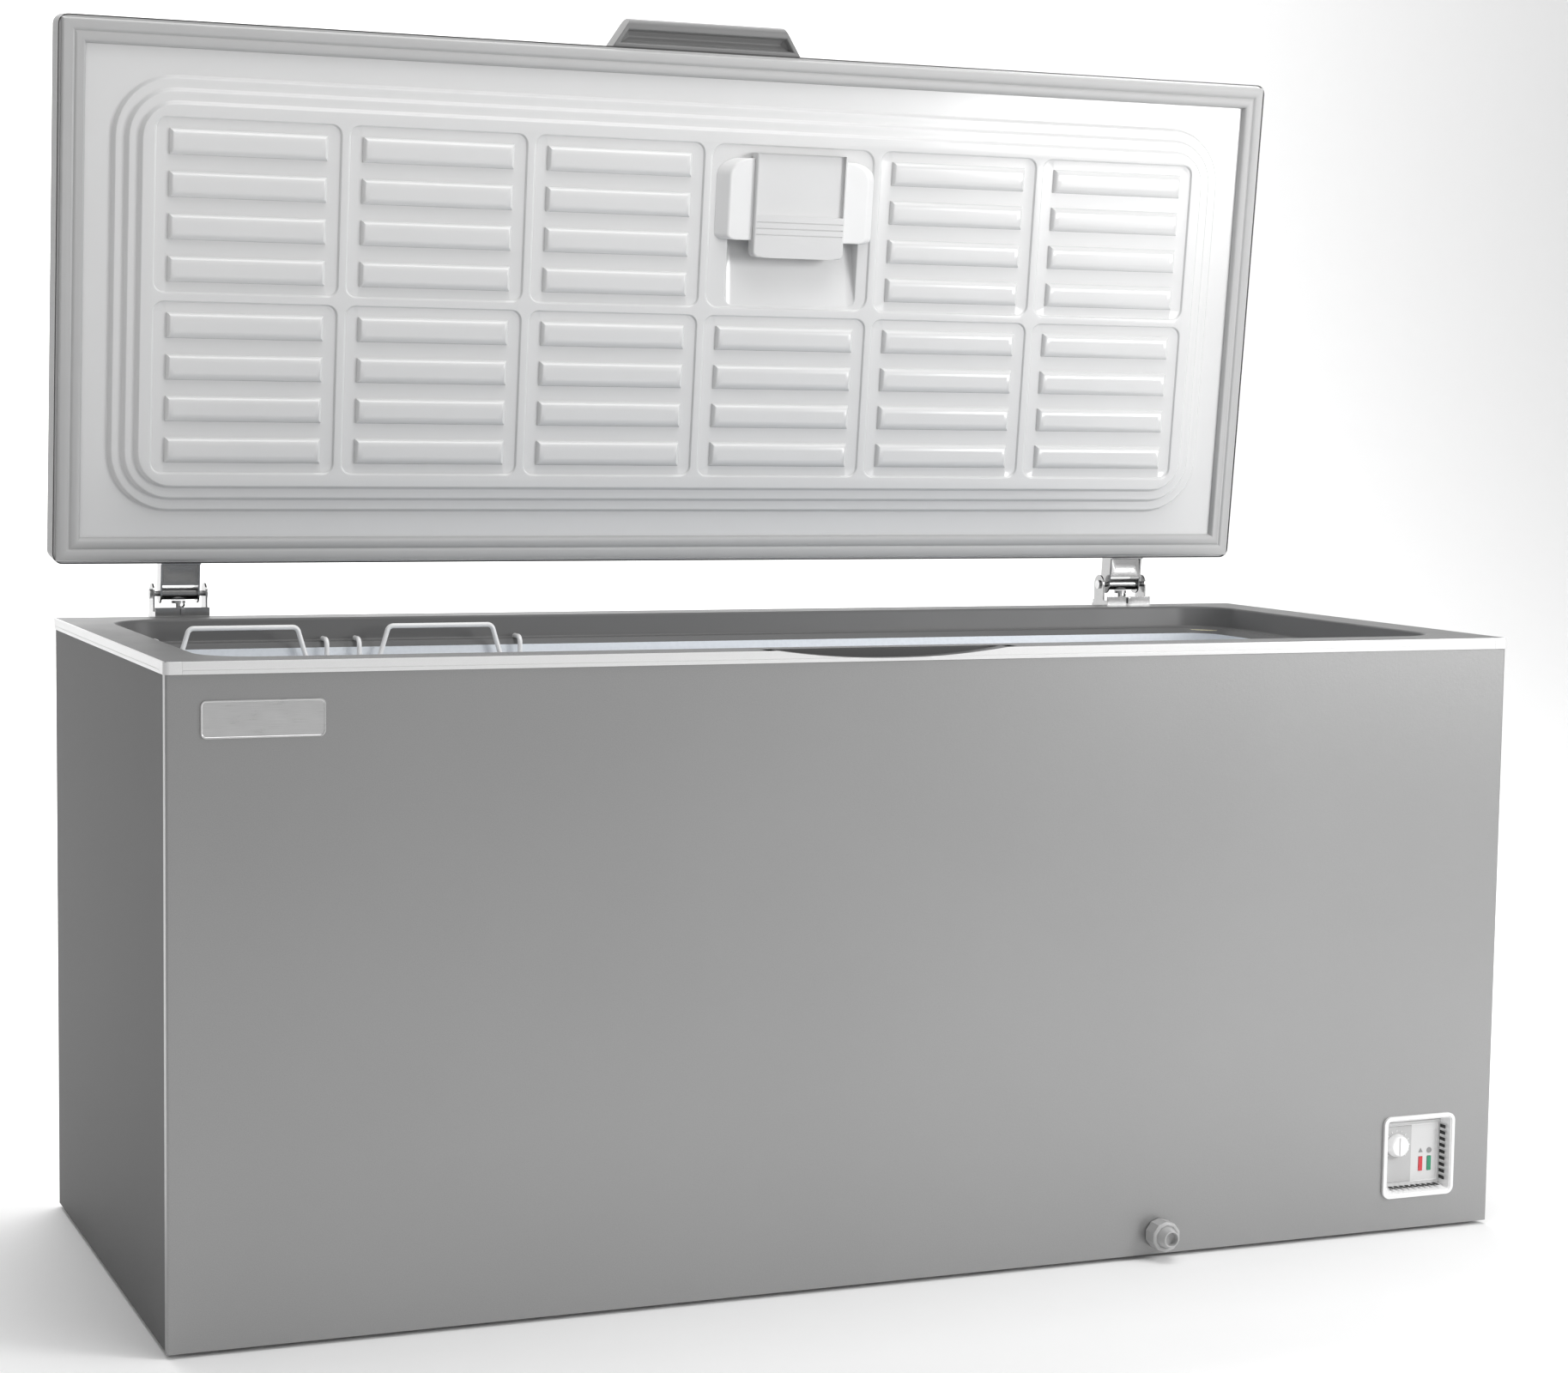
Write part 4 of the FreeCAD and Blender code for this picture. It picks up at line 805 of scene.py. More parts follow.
    def shift(self, move: Sequence[float]) -> "Workpiece":
        """Move the chosen part."""
        bpy.ops.transform.translate(value=tuple(move))
        return self

    def stretch(self, factors: Sequence[float], centre: Vector) -> "Workpiece":
        """Scale the chosen part about a point."""
        bpy.ops.transform.resize(value=tuple(factors), center_override=tuple(centre))
        return self

    def slice(self, spot: Sequence[float], way: Sequence[float]) -> "Workpiece":
        """Cut the chosen faces along a plane."""
        bpy.ops.mesh.bisect(plane_co=tuple(spot), plane_no=tuple(way))
        return self

    def remove(self) -> "Workpiece":
        """Delete the chosen faces."""
        bpy.ops.mesh.delete(type="FACE")
        return self

    def turn_over(self) -> "Workpiece":
        """Make every face look the other way."""
        self.choose(Kind.FACE)
        bpy.ops.mesh.flip_normals()
        return self

    def agree(self, up: bool) -> "Workpiece":
        """Merge doubles in a sheet and make its faces look the same way.

        Args:
            up: Whether the sheet's largest face has to look up.

        Returns:
            This piece.
        """
        self.choose(Kind.FACE)
        bpy.ops.mesh.remove_doubles(threshold=WELD)
        bpy.ops.mesh.normals_make_consistent(inside=False)
        net = bmesh.from_edit_mesh(self.item.data)
        net.normal_update()
        largest = max(net.faces, key=lambda face: face.calc_area())
        return self if (largest.normal.z > 0) == up else self.turn_over()

    def fill_gap(self, level: float) -> "Workpiece":
        """Fill the flat area between the open loops at one height.

        Args:
            level: The height.

        Returns:
            This piece.
        """
        self.choose(Kind.EDGE, lambda place, way: (
            abs(place.z - level) < TOUCH and abs(way.z) < LOOSE))
        net = bmesh.from_edit_mesh(self.item.data)
        for edge in net.edges:
            edge.select_set(edge.select and len(edge.link_faces) < 2)
        bmesh.update_edit_mesh(self.item.data)
        bpy.ops.mesh.fill(use_beauty=True)
        return self

    def modify(self, kind: str, **settings: Any) -> "Workpiece":
        """Add a modifier and apply it.

        Args:
            kind: Blender's name of the modifier's type.
            settings: Its properties.

        Returns:
            This piece.
        """
        self.hold()
        added = self.item.modifiers.new(kind.lower(), kind)
        for key, value in settings.items():
            setattr(added, key, value)
        bpy.ops.object.modifier_apply(modifier=added.name)
        return self

    def soften(self, width: float, segments: int = 2, angle: float = 35.0) -> "Workpiece":
        """Round every edge sharper than an angle."""
        return self.modify("BEVEL", width=width, segments=segments, limit_method="ANGLE",
                           angle_limit=math.radians(angle))

    def thicken(self, width: float) -> "Workpiece":
        """Give a sheet a wall behind its faces."""
        return self.modify("SOLIDIFY", thickness=width, offset=-1.0)

    def carve(self, tool: "Workpiece") -> "Workpiece":
        """Take another piece's volume away and discard that piece."""
        self.modify("BOOLEAN", operation="DIFFERENCE", solver="EXACT", object=tool.item)
        bpy.data.objects.remove(tool.item)
        return self

    def take_in(self, others: Iterable["Workpiece"]) -> "Workpiece":
        """Join other pieces into this one.

        Args:
            others: Pieces that end as part of this one.

        Returns:
            This piece.
        """
        self.hold()
        for other in others:
            other.item.select_set(True)
        bpy.ops.object.join()
        return self

    def twin(self, move: Sequence[float]) -> "Workpiece":
        """Copy with its own mesh, moved.

        Args:
            move: Way from this piece to the copy.

        Returns:
            The copy.
        """
        self.hold()
        bpy.ops.object.duplicate(linked=False)
        copy = Workpiece(self.item.name)
        bpy.context.active_object.location = move
        bpy.ops.object.transform_apply(location=True, rotation=False, scale=False)
        return copy

    def placed(self, matrix: Matrix) -> "Workpiece":
        """Move the mesh and leave the object at the origin.

        Args:
            matrix: The move.

        Returns:
            This piece.
        """
        self.hold()
        self.item.matrix_world = matrix
        bpy.ops.object.transform_apply(location=True, rotation=True, scale=True)
        return self

    def done(self, body: str, slot: str, finish: Finish, *nodes: str, smooth: float = 30.0) -> None:
        """Dress the piece and fix it to the frame.

        Args:
            body: CAD body that it rides on.
            slot: Material slot of the record; not used.
            finish: Its finish.
            nodes: CAD nodes that it stands for.
            smooth: Sharpest angle that is still shaded smooth, in degrees.
        """
        self.hold()
        bpy.ops.object.shade_smooth_by_angle(angle=math.radians(smooth))
        self.modify("WEIGHTED_NORMAL", keep_sharp=True)
        self.item.data.materials.clear()
        self.item.data.materials.append(finish.material())
        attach(self.item, body)
        if nodes:
            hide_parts(*nodes)
        log.info("%s rides on %s, %d faces", self.item.name, body, len(self.item.data.polygons))


# --------------------------------------------------------------- sub-assemblies


class SubAssembly(ABC):
    """Group of pieces that is built and dressed together."""

    @abstractmethod
    def build(self) -> None:
        """Make the pieces."""


@dataclass
class CarriedNodes(SubAssembly):
    """CAD nodes whose shape stays and whose surface is finished here."""

    def build(self) -> None:
        """Give each material slot of each CAD node its finish."""
        for node, item in frame["nodes"].items():
            for holder in item.material_slots:
                wanted = SLOT_FINISH[holder.material.name.split(".")[0]]
                # The side panels get the painted-shade copy of the cabinet paint from NODE_FINISH.
                holder.material = NODE_FINISH.get(node, wanted).material()
            log.info("%s has its finish", node)


@dataclass
class Cabinet(SubAssembly):
    """Front sheet and rim trim, with the finger scoop cut into the trim."""

    fold: float = 3.0 * MM
    skin: float = 0.8 * MM
    return_deep: float = 14.0 * MM
    step_out: float = 0.5 * MM
    foot_line: float = 4.5 * MM
    groove: float = 0.7 * MM
    scoop_wall: float = 2.0 * MM
    scoop_sides: int = 720
    hole_margin: float = 4.0 * MM
    hole_play: float = 1.0 * MM
    cut_past: float = 10.0 * MM
    drill_back: float = 20.0 * MM
    drill_long: float = 60.0 * MM
    strip_reach: float = 22.0 * MM
    strip_soft: float = 0.4 * MM
    cap_soft: float = 0.6 * MM

    def build(self) -> None:
        """Make the front sheet and the trim."""
        self.front_sheet()
        self.trim()

    def scoop_tool(self) -> Workpiece:
        """Large disc whose rim leaves the shallow finger scoop."""
        box = box_of("finger_scoop")
        half, drop = box.size.x / 2, box.size.z
        radius = (half ** 2 + drop ** 2) / (2 * drop) - self.scoop_wall
        centre = Vector((0, 0, box.low.z + self.scoop_wall + radius))
        start = centre + Vector((0, box.low.y - self.cut_past, 0))
        end = centre + Vector((0, box.high.y - self.scoop_wall, 0))
        return Workpiece.rod("scoop_tool", radius, start, end, self.scoop_sides)

    def front_sheet(self) -> None:
        """Front sheet folded back round both upright edges."""
        box = box_of("front_panel")
        side = box_of("left_panel")
        top = box_of("rim_trim").low.z + self.foot_line
        low = Vector((side.low.x - self.step_out, box.low.y, box.low.z))
        high = Vector((-low.x, box.low.y + self.return_deep, top))
        piece = Workpiece.block("front_sheet", Box(low, high))
        piece.choose(Kind.EDGE, lambda place, way: (
            abs(way.z) > ALIGNED and place.y < low.y + self.fold))
        piece.bevel(self.fold, 5)
        piece.choose(Kind.FACE, lambda place, way: way.y > ALIGNED or abs(way.z) > ALIGNED)
        piece.remove()
        piece.thicken(self.skin)
        opening = box_of("control_bezel")
        reach = Vector((self.hole_margin, -self.cut_past, self.hole_margin))
        hole = Box(opening.low + reach, opening.high - reach)
        piece.carve(Workpiece.block("control_hole", hole))
        spout = box_of("drain_spout")
        start = Vector((spout.middle.x, box.low.y - self.drill_back, spout.middle.z))
        end = start + Vector((0, self.drill_long, 0))
        piece.carve(Workpiece.rod("drain_hole", spout.size.x / 2 + self.hole_play, start, end))
        piece.done("cabinet", "grey_paint", Palette.CABINET, "front_panel")

    def strip(self, name: str, box: Box, axis: int, sign: int) -> Workpiece:
        """Trim strip with a foot line along its outer face.

        Args:
            name: Name of the piece.
            box: Space of the strip.
            axis: Axis that its outer face looks along.
            sign: Sense of that axis.

        Returns:
            The piece.
        """
        piece = Workpiece.block(name, box)
        outer = facing(axis, sign)
        foot = box.low.z + self.foot_line
        for level in (foot, foot + self.groove):
            piece.choose(Kind.FACE, outer).slice((0, 0, level), (0, 0, 1))
        middle = foot + self.groove / 2
        piece.choose(Kind.FACE, lambda place, way: (
            outer(place, way) and abs(place.z - middle) < self.groove / 4))
        move = Vector((0, 0, 0))
        move[axis] = -sign * self.groove
        piece.extrude(move)
        return piece.soften(self.strip_soft, 2)

    def trim(self) -> None:
        """Four strips and four corner pieces round the rim."""
        whole, corners = box_of("rim_trim"), box_of("trim_corners")
        thick = whole.high.y - box_of("rear_panel").high.y
        strips = []
        for axis, other in ((1, 0), (0, 1)):
            for sign in (-1, 1):
                low, high = whole.low.copy(), whole.high.copy()
                low[other] += self.strip_reach
                high[other] -= self.strip_reach
                if sign < 0:
                    high[axis] = low[axis] + thick
                else:
                    low[axis] = high[axis] - thick
                strips.append(self.strip(f"strip_{axis}{sign}", Box(low, high), axis, sign))
        strips[0].carve(self.scoop_tool())
        trim = Workpiece.joined("rim_strips", strips)
        trim.done("cabinet", "trim_silver", Palette.TRIM, "rim_trim")
        cap = Workpiece.after("corner_caps", "trim_corners")
        cap.choose(Kind.FACE, lambda place, way: abs(way.z) < 0.5 and place.z > corners.low.z)
        cap.soften(self.cap_soft, 2)
        cap.done("cabinet", "trim_silver", Palette.TRIM, "trim_corners")


@dataclass
class Collar(SubAssembly):
    """Moulded collar between the rim and the tub."""

    rim_wide: float = 59.0 * MM
    rim_radius: float = 69.0 * MM
    edge_radius: float = 4.0 * MM
    outer_radius: float = 5.0 * MM
    slope_run: float = 8.0 * MM
    ledge_drop: float = 32.0 * MM
    ledge_run: float = 12.0 * MM
    strip_run: float = 6.6 * MM
    crease_run: float = 1.2 * MM
    crease_fall: float = 0.6 * MM
    skirt: float = 14.0 * MM
    wall: float = 2.2 * MM
    edge_parts: int = 5
    corner_parts: int = 16

    def build(self) -> None:
        """Make the collar as one moulded ring."""
        box = box_of("top_collar")
        outer = Outline(tuple(box.low.xy), tuple(box.high.xy), self.outer_radius, box.high.z)
        inner = outer.inside(self.rim_wide - self.edge_radius, self.rim_radius + self.edge_radius,
                             box.high.z)
        piece = Workpiece.ring("collar", outer, inner, self.corner_parts)
        edge = quarter_round(self.edge_parts)
        for run, fall in edge:
            piece.inset(self.edge_radius * run, -self.edge_radius * fall)
        wall_fall = self.ledge_drop - 2 * self.edge_radius
        piece.inset(self.slope_run - self.edge_radius / 2, -wall_fall)
        for fall, run in edge:
            piece.inset(self.edge_radius * run, -self.edge_radius * fall)
        piece.inset(self.ledge_run - self.edge_radius * 1.5)
        piece.inset(self.crease_run, -self.crease_fall)
        piece.inset(self.strip_run, -(box.size.z - self.ledge_drop - self.crease_fall))
        piece.remove()
        piece.choose(Kind.EDGE, lambda place, way: (
            abs(place.x) > box.high.x - NEAR or abs(place.y) > box.high.y - NEAR))
        piece.extrude((0, 0, -self.skirt))
        piece.agree(up=True)
        piece.thicken(self.wall)
        piece.carve(Cabinet().scoop_tool())
        piece.done("cabinet", "grey_plastic", Palette.COLLAR, "top_collar")


@dataclass
class LidFace(SubAssembly):
    """White formed sheet inside the lid: border, ridges, cells, bars and lamp pocket."""

    pose: LidPose
    columns: int = 6
    sheet_radius: float = 12.4 * MM
    form_margin: float = 70.4 * MM
    form_radius: float = 85.0 * MM
    steps: int = 3
    step_drop: float = 7.0 * MM
    step_run: float = 6.0 * MM
    step_flat: float = 11.0 * MM
    border_rise: float = 18.0 * MM
    tile_margin: float = 10.5 * MM
    rib_half: float = 4.5 * MM
    rib_tall: float = 3.0 * MM
    corner_wide: float = 16.0 * MM
    bar_long: float = 218.0 * MM
    bar_tall: float = 35.0 * MM
    bar_pitch: float = 57.0 * MM
    bar_rise: float = 8.0 * MM
    bar_round: float = 11.0 * MM
    bars: int = 4
    lamp_column: int = 3
    pocket_half: float = 105.0 * MM
    pocket_front: float = 151.0 * MM
    pocket_deep: float = 21.0 * MM
    pocket_slope: float = 92.0 * MM
    pocket_margin: float = 1.5 * MM
    pocket_rounds: float = 3.0 * MM
    pocket_draft: float = 0.97
    pocket_corner: float = 1.3
    pocket_edge: Profile = ((1.0, 0.3), (1.0, 0.9))
    pocket_foot: Profile = ((1.5, 0.9), (1.5, 0.3))
    least_run: float = 0.3 * MM
    corner_parts: int = 10
    step_parts: int = 5
    cell_parts: int = 4
    cell_corner_parts: int = 6
    bar_parts: int = 6
    sheet: Box = field(init=False)
    level: float = field(init=False)
    tile: Outline = field(init=False)

    def build(self) -> None:
        """Make the sheet and its cells shut, then open the lid."""
        self.sheet = self.pose.closed_box("lid_liner")
        border = self.sheet.low.z + self.border_rise
        self.level = border - self.steps * self.step_drop
        outer = Outline(tuple(self.sheet.low.xy), tuple(self.sheet.high.xy), self.sheet_radius,
                        border)
        inner = outer.inside(self.form_margin, self.form_radius, border)
        piece = Workpiece.ring("lid_face", outer, inner, self.corner_parts)
        self.ridges(piece)
        run = self.form_margin + self.steps * (self.step_run + self.step_flat) - self.step_flat
        self.tile = outer.inside(run + self.tile_margin, 0.0, self.level)
        bpy.ops.mesh.delete(type="ONLY_FACE")
        piece.take_in(self.cells())
        piece.fill_gap(self.level).agree(up=False)
        piece.placed(self.pose.opening)
        piece.done("lid", "lid_white", Palette.LID_WHITE, "lid_liner", smooth=40)

    def ridges(self, piece: Workpiece) -> None:
        """Three rounded steps, one inside the other.

        Args:
            piece: Sheet with its inner face selected.
        """
        for number in range(self.steps):
            for share in smooth_step(self.step_parts):
                piece.inset(self.step_run / self.step_parts, -self.step_drop * share)
            if number < self.steps - 1:
                piece.inset(self.step_flat / 2).inset(self.step_flat / 2)

    def cells(self) -> list[Workpiece]:
        """Two rows of cells that fill the field.

        Returns:
            The pieces.
        """
        wide = (self.tile.high[0] - self.tile.low[0]) / self.columns
        middle = (self.tile.low[1] + self.tile.high[1]) / 2
        rows = [(self.tile.low[1], middle, 1), (middle, self.tile.high[1], -1)]
        made = []
        for low, high, divider in rows:
            first = Outline((self.tile.low[0], low), (self.tile.low[0] + wide, high), 0.0, self.level)
            model = self.bar_cell(first, divider)
            for column in range(1, self.columns):
                if divider < 0 or column != self.lamp_column:
                    made.append(model.twin((column * wide, 0, 0)))
            made.append(model)
        left = self.tile.low[0] + self.lamp_column * wide
        made.append(self.lamp_cell(Outline((left, rows[0][0]), (left + wide, middle), 0.0, self.level)))
        return made

    def cell_floor(self, name: str, outline: Outline, radius: float) -> Workpiece:
        """Cell with its rib frame and a sunk floor, the floor selected.

        Args:
            name: Name of the piece.
            outline: Outline of the whole cell.
            radius: Corner radius of the floor.

        Returns:
            The piece.
        """
        floor = outline.inside(self.rib_half, radius, self.level)
        piece = Workpiece.plate(name, floor, self.cell_corner_parts)
        for share in smooth_step(self.cell_parts):
            piece.inset(self.rib_tall / self.cell_parts, self.rib_tall * share)
        return piece

    def bar_cell(self, outline: Outline, divider: int) -> Workpiece:
        """Cell with four raised bars.

        Args:
            outline: Outline of the whole cell.
            divider: Side of the middle divider, 1 for behind and -1 for in front; not used.

        Returns:
            The piece.
        """
        piece = self.cell_floor("bar_cell", outline, self.corner_wide)
        floor = self.level + self.rib_tall
        x = (outline.low[0] + outline.high[0]) / 2
        y = (outline.low[1] + outline.high[1]) / 2
        rows = [y + (i - (self.bars - 1) / 2) * self.bar_pitch for i in range(self.bars)]
        on_floor = lambda place, way: abs(place.z - floor) < TOUCH and abs(way.z) > ALIGNED
        for side in (-1, 1):
            piece.choose(Kind.FACE, on_floor).slice((x + side * self.bar_long / 2, 0, 0), (1, 0, 0))
        for row in rows:
            for side in (-1, 1):
                piece.choose(Kind.FACE, on_floor).slice((0, row + side * self.bar_tall / 2, 0), (0, 1, 0))
        piece.choose(Kind.FACE, lambda place, way: (
            on_floor(place, way) and abs(place.x - x) < self.bar_long / 4
            and min(abs(place.y - row) for row in rows) < self.bar_tall / 4))
        for rise, run in quarter_round(self.bar_parts):
            piece.inset(max(self.bar_round * run, self.least_run), -self.bar_rise * rise, each=True)
        return piece

    def lamp_cell(self, outline: Outline) -> Workpiece:
        """Cell with the sloped pocket that the lamp sits over.

        Args:
            outline: Outline of the whole cell.

        Returns:
            The piece.
        """
        piece = self.cell_floor("lamp_cell", outline, self.corner_wide * self.pocket_corner)
        floor = self.level + self.rib_tall
        front = self.sheet.low.y + self.pocket_front
        edge = self.rib_half + self.rib_tall + self.pocket_margin
        low, high = outline.low[1] + edge, outline.high[1] - edge
        back = Vector(((outline.low[0] + outline.high[0]) / 2, high, floor))
        half = back.x - outline.low[0] - edge
        piece.inset(self.pocket_margin)
        piece.stretch((self.pocket_half / half, (high - front) / (high - low), 1.0), back)
        lamp = self.pose.closed_box("lamp_housing").middle.x
        piece.shift((lamp - back.x, 0, 0))
        back.x = lamp
        piece.steps(self.pocket_edge)
        piece.extrude((0, 0, self.pocket_deep - self.pocket_rounds))
        piece.stretch((self.pocket_draft, self.pocket_draft, 1.0), back)
        deep = floor + self.pocket_deep - self.pocket_rounds
        piece.choose(Kind.POINT, lambda place, way: (
            place.z > deep and place.y > (front + high) / 2))
        piece.shift((0, -self.pocket_slope, 0))
        piece.choose(Kind.FACE, lambda place, way: place.z > deep and abs(way.z) > ALIGNED)
        return piece.steps(self.pocket_foot)


@dataclass
class LidShell(SubAssembly):
    """Painted tray, gasket and grip of the lid."""

    pose: LidPose
    corner: float = 14.0 * MM
    crown: float = 4.0 * MM
    skin: float = 1.2 * MM
    seal_margin: float = 2.2 * MM
    grip_taper: float = 26.0 * MM
    grip_round: float = 9.0 * MM
    grip_soft: float = 1.6 * MM
    finger_hollow: Profile = ((5.0, 0.0), (1.0, -1.0), (2.5, -7.0), (6.0, -5.0))
    seal_profile: Profile = (
        (0.0, 4.2), (1.2, 2.6), (2.2, 1.6), (4.0, 0.7), (6.0, 0.0), (2.2, -1.8), (1.4, -0.8),
        (1.4, 0.8), (2.4, 1.5), (4.0, 0.5), (3.4, -0.4), (2.4, -1.7), (1.4, -2.8), (0.8, -4.0),
    )

    def build(self) -> None:
        """Make the tray, the seal and the grip."""
        self.tray()
        self.seal()
        self.grip()

    def tray(self) -> None:
        """Outer tray with rounded corners and crown."""
        box = self.pose.closed_box("lid_outer_shell")
        piece = Workpiece.block("lid_tray", box)
        piece.choose(Kind.EDGE, running(2)).bevel(self.corner, 7)
        piece.choose(Kind.FACE, facing(2, -1)).remove()
        piece.choose(Kind.EDGE, lambda place, way: place.z > box.high.z - TOUCH).bevel(self.crown, 4)
        piece.thicken(self.skin)
        piece.placed(self.pose.opening).done("lid", "lid_paint", Palette.LID_SKIN, "lid_outer_shell")

    def seal(self) -> None:
        """Soft seal with two lips and mitred corners."""
        box = self.pose.closed_box("lid_gasket")
        outline = Outline(tuple(box.low.xy), tuple(box.high.xy), 0.0, box.high.z)
        piece = Workpiece.plate("lid_seal", outline.inside(self.seal_margin, 0.0, box.high.z))
        piece.turn_over().choose(Kind.FACE).steps(self.seal_profile).remove()
        piece.placed(self.pose.opening)
        piece.done("lid", "gasket_grey", Palette.PAD, "lid_gasket", smooth=40)

    def grip(self) -> None:
        """Grip with sloped ends and a hollow finger side."""
        box = self.pose.closed_box("lid_handle")
        piece = Workpiece.block("lid_grip", box)
        for side in (-1, 1):
            piece.choose(Kind.POINT, lambda place, way: place.x * side > 0 and place.y < box.middle.y)
            piece.shift((-side * self.grip_taper, 0, 0))
        piece.choose(Kind.EDGE, lambda place, way: (
            place.y < box.low.y + NEAR and abs(way.x) > ALIGNED))
        piece.bevel(self.grip_round, 5)
        piece.choose(Kind.FACE, facing(2, -1)).steps(self.finger_hollow)
        piece.soften(self.grip_soft, 3)
        piece.placed(self.pose.opening).done("lid", "handle_grey", Palette.HANDLE, "lid_handle")


@dataclass
class Lamp(SubAssembly):
    """Two-winged lamp housing and its hanging cover."""

    pose: LidPose
    wing_corner: float = 26.0 * MM
    wing_edge: float = 2.0 * MM
    wing_slope: float = 16.0 * MM
    upper_sunk: float = 6.0 * MM
    seam: float = 98.0 * MM
    line_pitch: float = 9.0 * MM
    lines: int = 3
    groove: float = 1.4 * MM
    play: float = 0.3 * MM
    back_thick: float = 1.5 * MM
    back_soft: float = 0.3 * MM
    cover_corner: float = 9.0 * MM
    cover_edge: float = 3.0 * MM

    def build(self) -> None:
        """Make the wings and the cover."""
        self.wings()
        self.cover()

    def wings(self) -> None:
        """Housing with rounded outer corners and a gap for the cover."""
        box = self.pose.closed_box("lamp_housing")
        cover = self.pose.closed_box("lamp_cover")
        wings = []
        for side in (-1, 1):
            inner = (cover.high if side > 0 else cover.low).x + side * self.play
            outer = (box.high if side > 0 else box.low).x
            low = Vector((min(inner, outer), box.low.y, box.low.z))
            high = Vector((max(inner, outer), box.high.y, box.high.z))
            wing = Workpiece.block("wing", Box(low, high))
            wing.choose(Kind.POINT, lambda place, way: (
                abs(place.x - outer) < TOUCH and place.z < box.middle.z))
            wing.shift((-side * self.wing_slope, 0, 0))
            far = lambda place, way: abs(way.z) > 0.5 and abs(place.x - outer) < self.wing_slope
            wing.choose(Kind.EDGE, lambda place, way: far(place, way) and place.y < box.middle.y)
            wing.bevel(self.wing_corner, 8)
            wing.choose(Kind.EDGE, lambda place, way: far(place, way) and place.y > box.middle.y)
            wing.bevel(self.wing_corner / 3, 5)
            wing.choose(Kind.EDGE, lambda place, way: (
                place.z < box.low.z + TOUCH and abs(place.x - inner) > TOUCH))
            wing.bevel(self.wing_edge, 5)
            wings.append(wing)
        back = Box(Vector((cover.low.x, box.low.y, box.high.z - self.back_thick)),
                   Vector((cover.high.x, *box.high.yz)))
        plate = Workpiece.block("housing_back", back).soften(self.back_soft)
        piece = Workpiece.joined("lamp_wings", [*wings, plate])
        piece.placed(self.pose.opening).done("lid", "white_plastic", Palette.WHITE, "lamp_housing")

    def cover(self) -> None:
        """Cover with a seam and fine lines on its lower part."""
        box = self.pose.closed_box("lamp_cover")
        piece = Workpiece.block("lamp_shade", box)
        piece.choose(Kind.EDGE, lambda place, way: abs(way.z) > ALIGNED and place.y > box.middle.y)
        piece.bevel(self.cover_corner, 5)
        piece.choose(Kind.EDGE, lambda place, way: (
            place.z < box.low.z + TOUCH and abs(way.x) < ALIGNED))
        piece.bevel(self.cover_edge, 4)
        upper_end = box.low.y + self.seam - self.line_pitch
        piece.choose(Kind.FACE, facing(2, -1)).slice((0, upper_end, 0), (0, 1, 0))
        piece.choose(Kind.FACE, lambda place, way: (
            way.z < -ALIGNED and place.y < box.low.y + self.seam / 2))
        piece.extrude((0, 0, self.upper_sunk))
        starts = [box.low.y + self.seam + i * self.line_pitch for i in range(self.lines)]
        lower = lambda place, way: way.z < -ALIGNED and place.z < box.low.z + self.upper_sunk / 2
        for start in starts:
            for level in (start, start + self.groove):
                piece.choose(Kind.FACE, lower).slice((0, level, 0), (0, 1, 0))
        piece.choose(Kind.FACE, lambda place, way: (
            lower(place, way)
            and min(abs(place.y - start - self.groove / 2) for start in starts) < self.groove / 4))
        piece.extrude((0, 0, self.groove))
        piece.placed(self.pose.opening).done("lid", "lamp_clear", Palette.LAMP, "lamp_cover")


@dataclass
class Nameplate(SubAssembly):
    """Blank brushed plate with a raised edge."""

    corner: float = 7.0 * MM
    edge: float = 1.6 * MM
    sunk: float = 0.5 * MM

    def build(self) -> None:
        """Make the plate."""
        piece = Workpiece.block("badge_plate", box_of("nameplate"))
        piece.choose(Kind.EDGE, running(1)).bevel(self.corner, 6)
        piece.choose(Kind.FACE, facing(1, -1)).inset(self.edge).inset(self.sunk, -self.sunk)
        piece.soften(0.25 * MM, 2)
        piece.done("cabinet", "plate_metal", Palette.PLATE, "nameplate")


